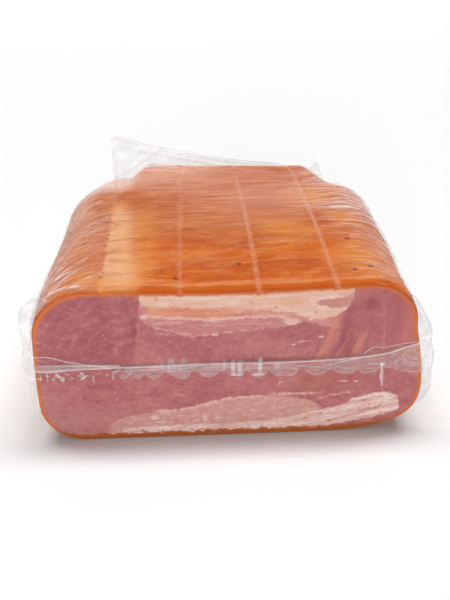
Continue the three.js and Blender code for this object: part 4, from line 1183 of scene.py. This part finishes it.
def build_ear(name, side, edge, shade, seed):
    """A sheet from the edge of the cut face to the edge of the bag, with creases along it
    and finer ones that fan out from the weld. It narrows to nothing at both its ends. shade
    is how much painted shade greys the doubled film."""
    tip = spaced(edge, EAR_ROWS)[:, None, :]
    across = np.linspace(0.0, 1.0, 28)[None, :]
    along = np.linspace(0.0, 1.0, EAR_ROWS)[:, None]
    ends = smooth(along, 0.0, 0.10) * smooth(1 - along, 0.0, 0.10)
    middle = np.array([side * 66.0, 50.0])
    reach = rim_reach(tip[..., 0], tip[..., 1], middle)
    far = np.hypot(tip[..., 0] - middle[0], tip[..., 1] - middle[1])
    share = 0.985 * reach / far
    full = share + (1 - share) * (0.25 + 0.75 * ends)
    place = middle + (tip - middle) * (share + (full - share) * across)[..., None]
    crease = np.zeros(place.shape[:2])
    for number, where in enumerate(EAR_CREASES):
        drift = where + 0.09 * noise(along * 7, along * 0 + number, seed)
        strength = 0.5 + 0.5 * noise(along * 13, along * 0 + number, seed + 1)
        crease += strength * bell(across - drift, 0.04)
    angle = np.arctan2(tip[..., 1] - 49.0, np.abs(tip[..., 0] - side * 84.0))
    fan = np.maximum(noise(angle * 14 + 0.8 * across, across * 0.6, seed + 4), 0.0) ** 1.5
    crease = (crease + 0.9 * fan) * ends
    ruffle = 0.35 * noise(along * 25, across * 2.2, seed + 2) * across
    y = FRONT + 1.1 + 1.2 * across**2 + ruffle - 0.35 * crease
    front = np.stack([place[..., 0], y, place[..., 1]], axis=-1)
    ear = sheet(name, front, front + [0.0, 0.2, 0.0], [FILM])
    rim = smooth(across, 0.90, 0.97) + 0 * along
    haze_and_glint = np.clip(0.03 + (0.22 * crease + 0.14 * rim) * (0.3 + 0.7 * ends), 0.0, 0.6)
    # Grey at the rim and in patches: painted shade
    fold_and_shade = shade + 0.40 * rim + 0.30 * noise(along * 24, across * 4, seed + 3)
    fold_and_shade = np.clip(fold_and_shade, 0, 1) * ends
    wrap(ear, haze_and_glint, fold_and_shade)


build_ear("film_ear_left", -1, LEFT_EAR, 0.18, 31)
build_ear("film_ear_right", 1, RIGHT_EAR, 0.45, 41)

# %% The pleats along both sides
PLEAT_TOP, REAR_LINE = 78.0, 48.0


def build_side_pleat(name, side):
    """A fin of film from the front corner to the back end: it starts at the weld, climbs to
    78 mm and comes down to the rear weld, and it is widest at the front corner."""
    depth = np.linspace(1.0, 175.5, 240)[::-side]
    climb = smooth(depth, 0.0, 42.0) * (1 - smooth(depth, 105.0, 168.0))
    start = 58.8 if side > 0 else 47.5
    start = start + (REAR_LINE - start) * smooth(depth, 105.0, 168.0)
    z = start + (PLEAT_TOP - start) * climb
    outline = face_outline(1440)
    flank = outline[:, (outline[0] * side > 0) & (outline[1] > 24) & (outline[1] < 90)]
    order = np.argsort(flank[1])
    reach = np.interp(z, flank[1][order], np.abs(flank[0][order]))
    x = side * (reach + edge_swell(depth) + unevenness(side * reach, z, depth))
    x = x * width_share(x, depth)
    turn = np.clip((depth - (LENGTH - ROLL_DEPTH)) / ROLL_DEPTH, 0.0, 1.0)
    width = 1.5 + 5.4 * np.exp(-depth / 16) + 0.5 * noise(depth / 7, depth * 0, 51 + side)
    across = np.linspace(0.0, 1.0, 9)[:, None]
    out = width * across - 0.6 * (1 - across)
    ripple = 0.5 * noise(depth / 5, across * 2, 53 + side) * across
    high = z + ripple + 0.9 * across**2 * noise(depth / 23, across * 0, 57 + side)
    wide = x + side * np.sqrt(1 - turn**2) * out
    front = np.stack([wide, FRONT + depth + turn * out, high], axis=-1)
    pleat = sheet(name, front, front - [0.0, 0.0, 0.3], [FILM])
    rim = smooth(across, 0.8, 0.95) + 0 * high
    haze_and_glint = np.clip(0.10 + 0.10 * rim + 0.2 * np.maximum(ripple, 0), 0, 1)
    # A slight grey at the rim: painted shade
    wrap(pleat, haze_and_glint, 0.08 * rim, gloss=0.5)


build_side_pleat("film_pleat_left", -1)
build_side_pleat("film_pleat_right", 1)

# %% The weld across the back
REAR_HALF_WIDTH = 54.0


def build_rear_weld():
    """A plainer copy of the weld in front: a ridge at 48 mm over a scalloped double layer."""
    across = np.linspace(REAR_HALF_WIDTH, -REAR_HALF_WIDTH, 300)
    up = np.linspace(0.0, 1.0, 40)[:, None]
    x = across + 0 * up
    z = 37.5 + 12.0 * up + 0 * x
    chain = 41.6 + 1.5 * np.abs(np.sin(x / 3.4 + 0.6 * np.sin(x / 11)))
    doubled = smooth(z, chain - 0.3, chain + 0.3) * smooth(REAR_LINE + 0.3 - z, -0.3, 0.3)
    line = bell(z - REAR_LINE, 0.5) + 0.5 * bell(z - 46.6, 0.3)
    edge = bell(z - chain, 0.35)
    fade = smooth(REAR_HALF_WIDTH - np.abs(x), 0.0, 9.0)
    share = np.clip(np.hypot(x, z - MIDDLE) / rim_reach(x, z), 0.0, 1.0)
    y = BACK + BACK_DOME * (1 - share**2) + SKIN_GAP
    proud = (0.5 * line + 0.25 * edge + 0.12 * doubled) * fade
    front = np.stack([x, y + 0.2 + proud, z], axis=-1)
    back = np.stack([x, y + 0.05, z], axis=-1)
    weld = sheet("film_weld_rear", front, back, [FILM])
    haze_and_glint = np.clip((0.45 * line + 0.3 * edge + 0.12 * doubled) * fade, 0.0, 0.9)
    wrap(weld, haze_and_glint, gloss=0.5 * smooth(haze_and_glint, 0.02, 0.30), back_haze=0.0)


build_rear_weld()

# %% The sealed tail behind the loaf
TAIL_LEFT, TAIL_RIGHT = -72.0, 77.0
HEM_INSET = 2.2


def build_tail():
    """The flat end of the bag, from just above the rear weld. Its top edge falls from the
    left corner by an exponential and has a small tip near its right end. A hem runs 2 mm
    inside the edge, and soft folds cross it."""
    s = np.linspace(0.0, 1.0, 260)
    t = np.linspace(0.0, 1.0, 60)[:, None]
    x = TAIL_LEFT + (TAIL_RIGHT - TAIL_LEFT) * s + 0 * t
    corners = np.maximum(1 - s / 0.035, 0) ** 2 + np.maximum(1 - (1 - s) / 0.035, 0) ** 2
    high = 79.0 + 31.0 * np.exp(-1.72 * s) - 4.0 * corners - 7.0 * smooth(s, 0.72, 1.0)
    high = high + 9.0 * bell(s - 0.965, 0.03)
    low = 50.0 + 14.0 * (1 - smooth(s, 0.0, 0.14)) + 8.0 * smooth(s, 0.86, 1.0)
    z = low + (high - low) * t
    from_edge = high - z
    from_left = x - TAIL_LEFT
    fold_one = bell(z - 78.0 - 0.62 * from_left, 0.9) * smooth(from_left, 2, 8)
    fold_two = bell(z - 101.0 + 0.20 * from_left, 0.8) * smooth(from_left, 14, 20)
    hem = bell(from_edge - HEM_INSET, 0.35) + bell(from_left - HEM_INSET, 0.35)
    sway = 1.3 * np.sin(x / 13 + z / 9) * t
    ridges = 0.5 * fold_one + 0.4 * fold_two + 0.25 * hem + 0.3 * noise(x / 12, z / 5, 61) * t
    y = BACK + BACK_DOME + 0.9 + 5.5 * t**1.3 + sway - ridges
    front = np.stack([x, y, z], axis=-1)
    tail = sheet("film_tail", front, front + [0.0, 0.3, 0.0], [FILM])
    rim = np.maximum(smooth(0.5 - from_edge, 0.0, 0.4), smooth(0.6 - from_left, 0.0, 0.5))
    haze_and_glint = np.clip(0.10 + 0.30 * hem + 0.25 * fold_one + 0.25 * fold_two + 0.3 * rim, 0.0, 0.8)
    # Grey at the rim: painted shade
    fold_and_shade = np.clip(0.12 + 0.5 * rim + 0.12 * noise(x / 9, z / 4, 62), 0.0, 1.0)
    wrap(tail, haze_and_glint, fold_and_shade)


build_tail()

# %% [markdown]
# ## Floor and light
# The loaf stands on white, under a long soft strip of light a little behind it, which is
# four lights side by side, and a wide, weaker ceiling. A softbox in front lights the cut
# face, and one behind shines on the film of the top. The floor is no piece of the part.

# %% Floor, lights and world
def add_floor():
    """A wide white sheet under the loaf."""
    corners = np.array([[-4.0, -3.0, 0.0], [4.0, -3.0, 0.0], [4.0, 6.0, 0.0], [-4.0, 6.0, 0.0]])
    material, tree = new_material("white paper")
    shader = add(tree, "ShaderNodeBsdfDiffuse", {"Color": colour("#E9E9E9")})
    add(tree, "ShaderNodeOutputMaterial", {"Surface": shader})
    floor = finish_mesh("floor", (corners - [0, 0, 0.0002]) / MM, [[0, 1, 2, 3]], [material])


def aim(light, place, target):
    """Puts a light at a place, in metres, and turns it to face a target."""
    way = np.array(target) - np.array(place)
    tilt = math.atan2(math.hypot(way[0], way[1]), -way[2])
    light.location = place
    light.rotation_euler = (tilt, 0.0, math.atan2(way[1], way[0]) - math.pi / 2)
    bpy.context.scene.collection.objects.link(light)


def add_sky_light(name, strength, spread, lean, side=0.0):
    """A round soft light far above, which lights the whole floor evenly. spread is its
    width as an angle, lean its tilt towards the back and side that to the right, all in
    degrees. The film shows no small bright image of it."""
    data = bpy.data.lights.new(name, "SUN")
    data.energy = strength
    data.angle = math.radians(spread)
    light = bpy.data.objects.new(name, data)
    light.visible_glossy = False
    place = (math.tan(math.radians(side)), math.tan(math.radians(lean)), 1.0)
    aim(light, place, (0.0, 0.0, 0.0))


def add_softbox(name, place, target, width, height, watts):
    """A flat area light at a place, in metres, that faces a target."""
    data = bpy.data.lights.new(name, "AREA")
    data.shape = "RECTANGLE"
    data.size, data.size_y = width, height
    data.energy = watts
    light = bpy.data.objects.new(name, data)
    aim(light, place, target)


add_floor()
for number, side in enumerate((-18.0, -4.0, 10.0, 23.0)):
    add_sky_light(f"strip_{number}", strength=0.69, spread=12.0, lean=9.0, side=side)
add_sky_light("ceiling", strength=0.4, spread=60.0, lean=8.0)
add_softbox("front", (-0.3, -2.0, 0.42), (0.0, -0.08, 0.05), width=1.0, height=1.0, watts=19.8)
add_softbox("back", (0.0, 2.3, 0.5), (0.0, 0.0, 0.3), width=4.0, height=0.9, watts=11.0)
world = bpy.data.worlds.new("studio")
world.use_nodes = True
world.node_tree.nodes["Background"].inputs["Color"].default_value = (1, 1, 1, 1)
world.node_tree.nodes["Background"].inputs["Strength"].default_value = 0.15
bpy.context.scene.world = world
bpy.context.scene.view_settings.view_transform = "Standard"
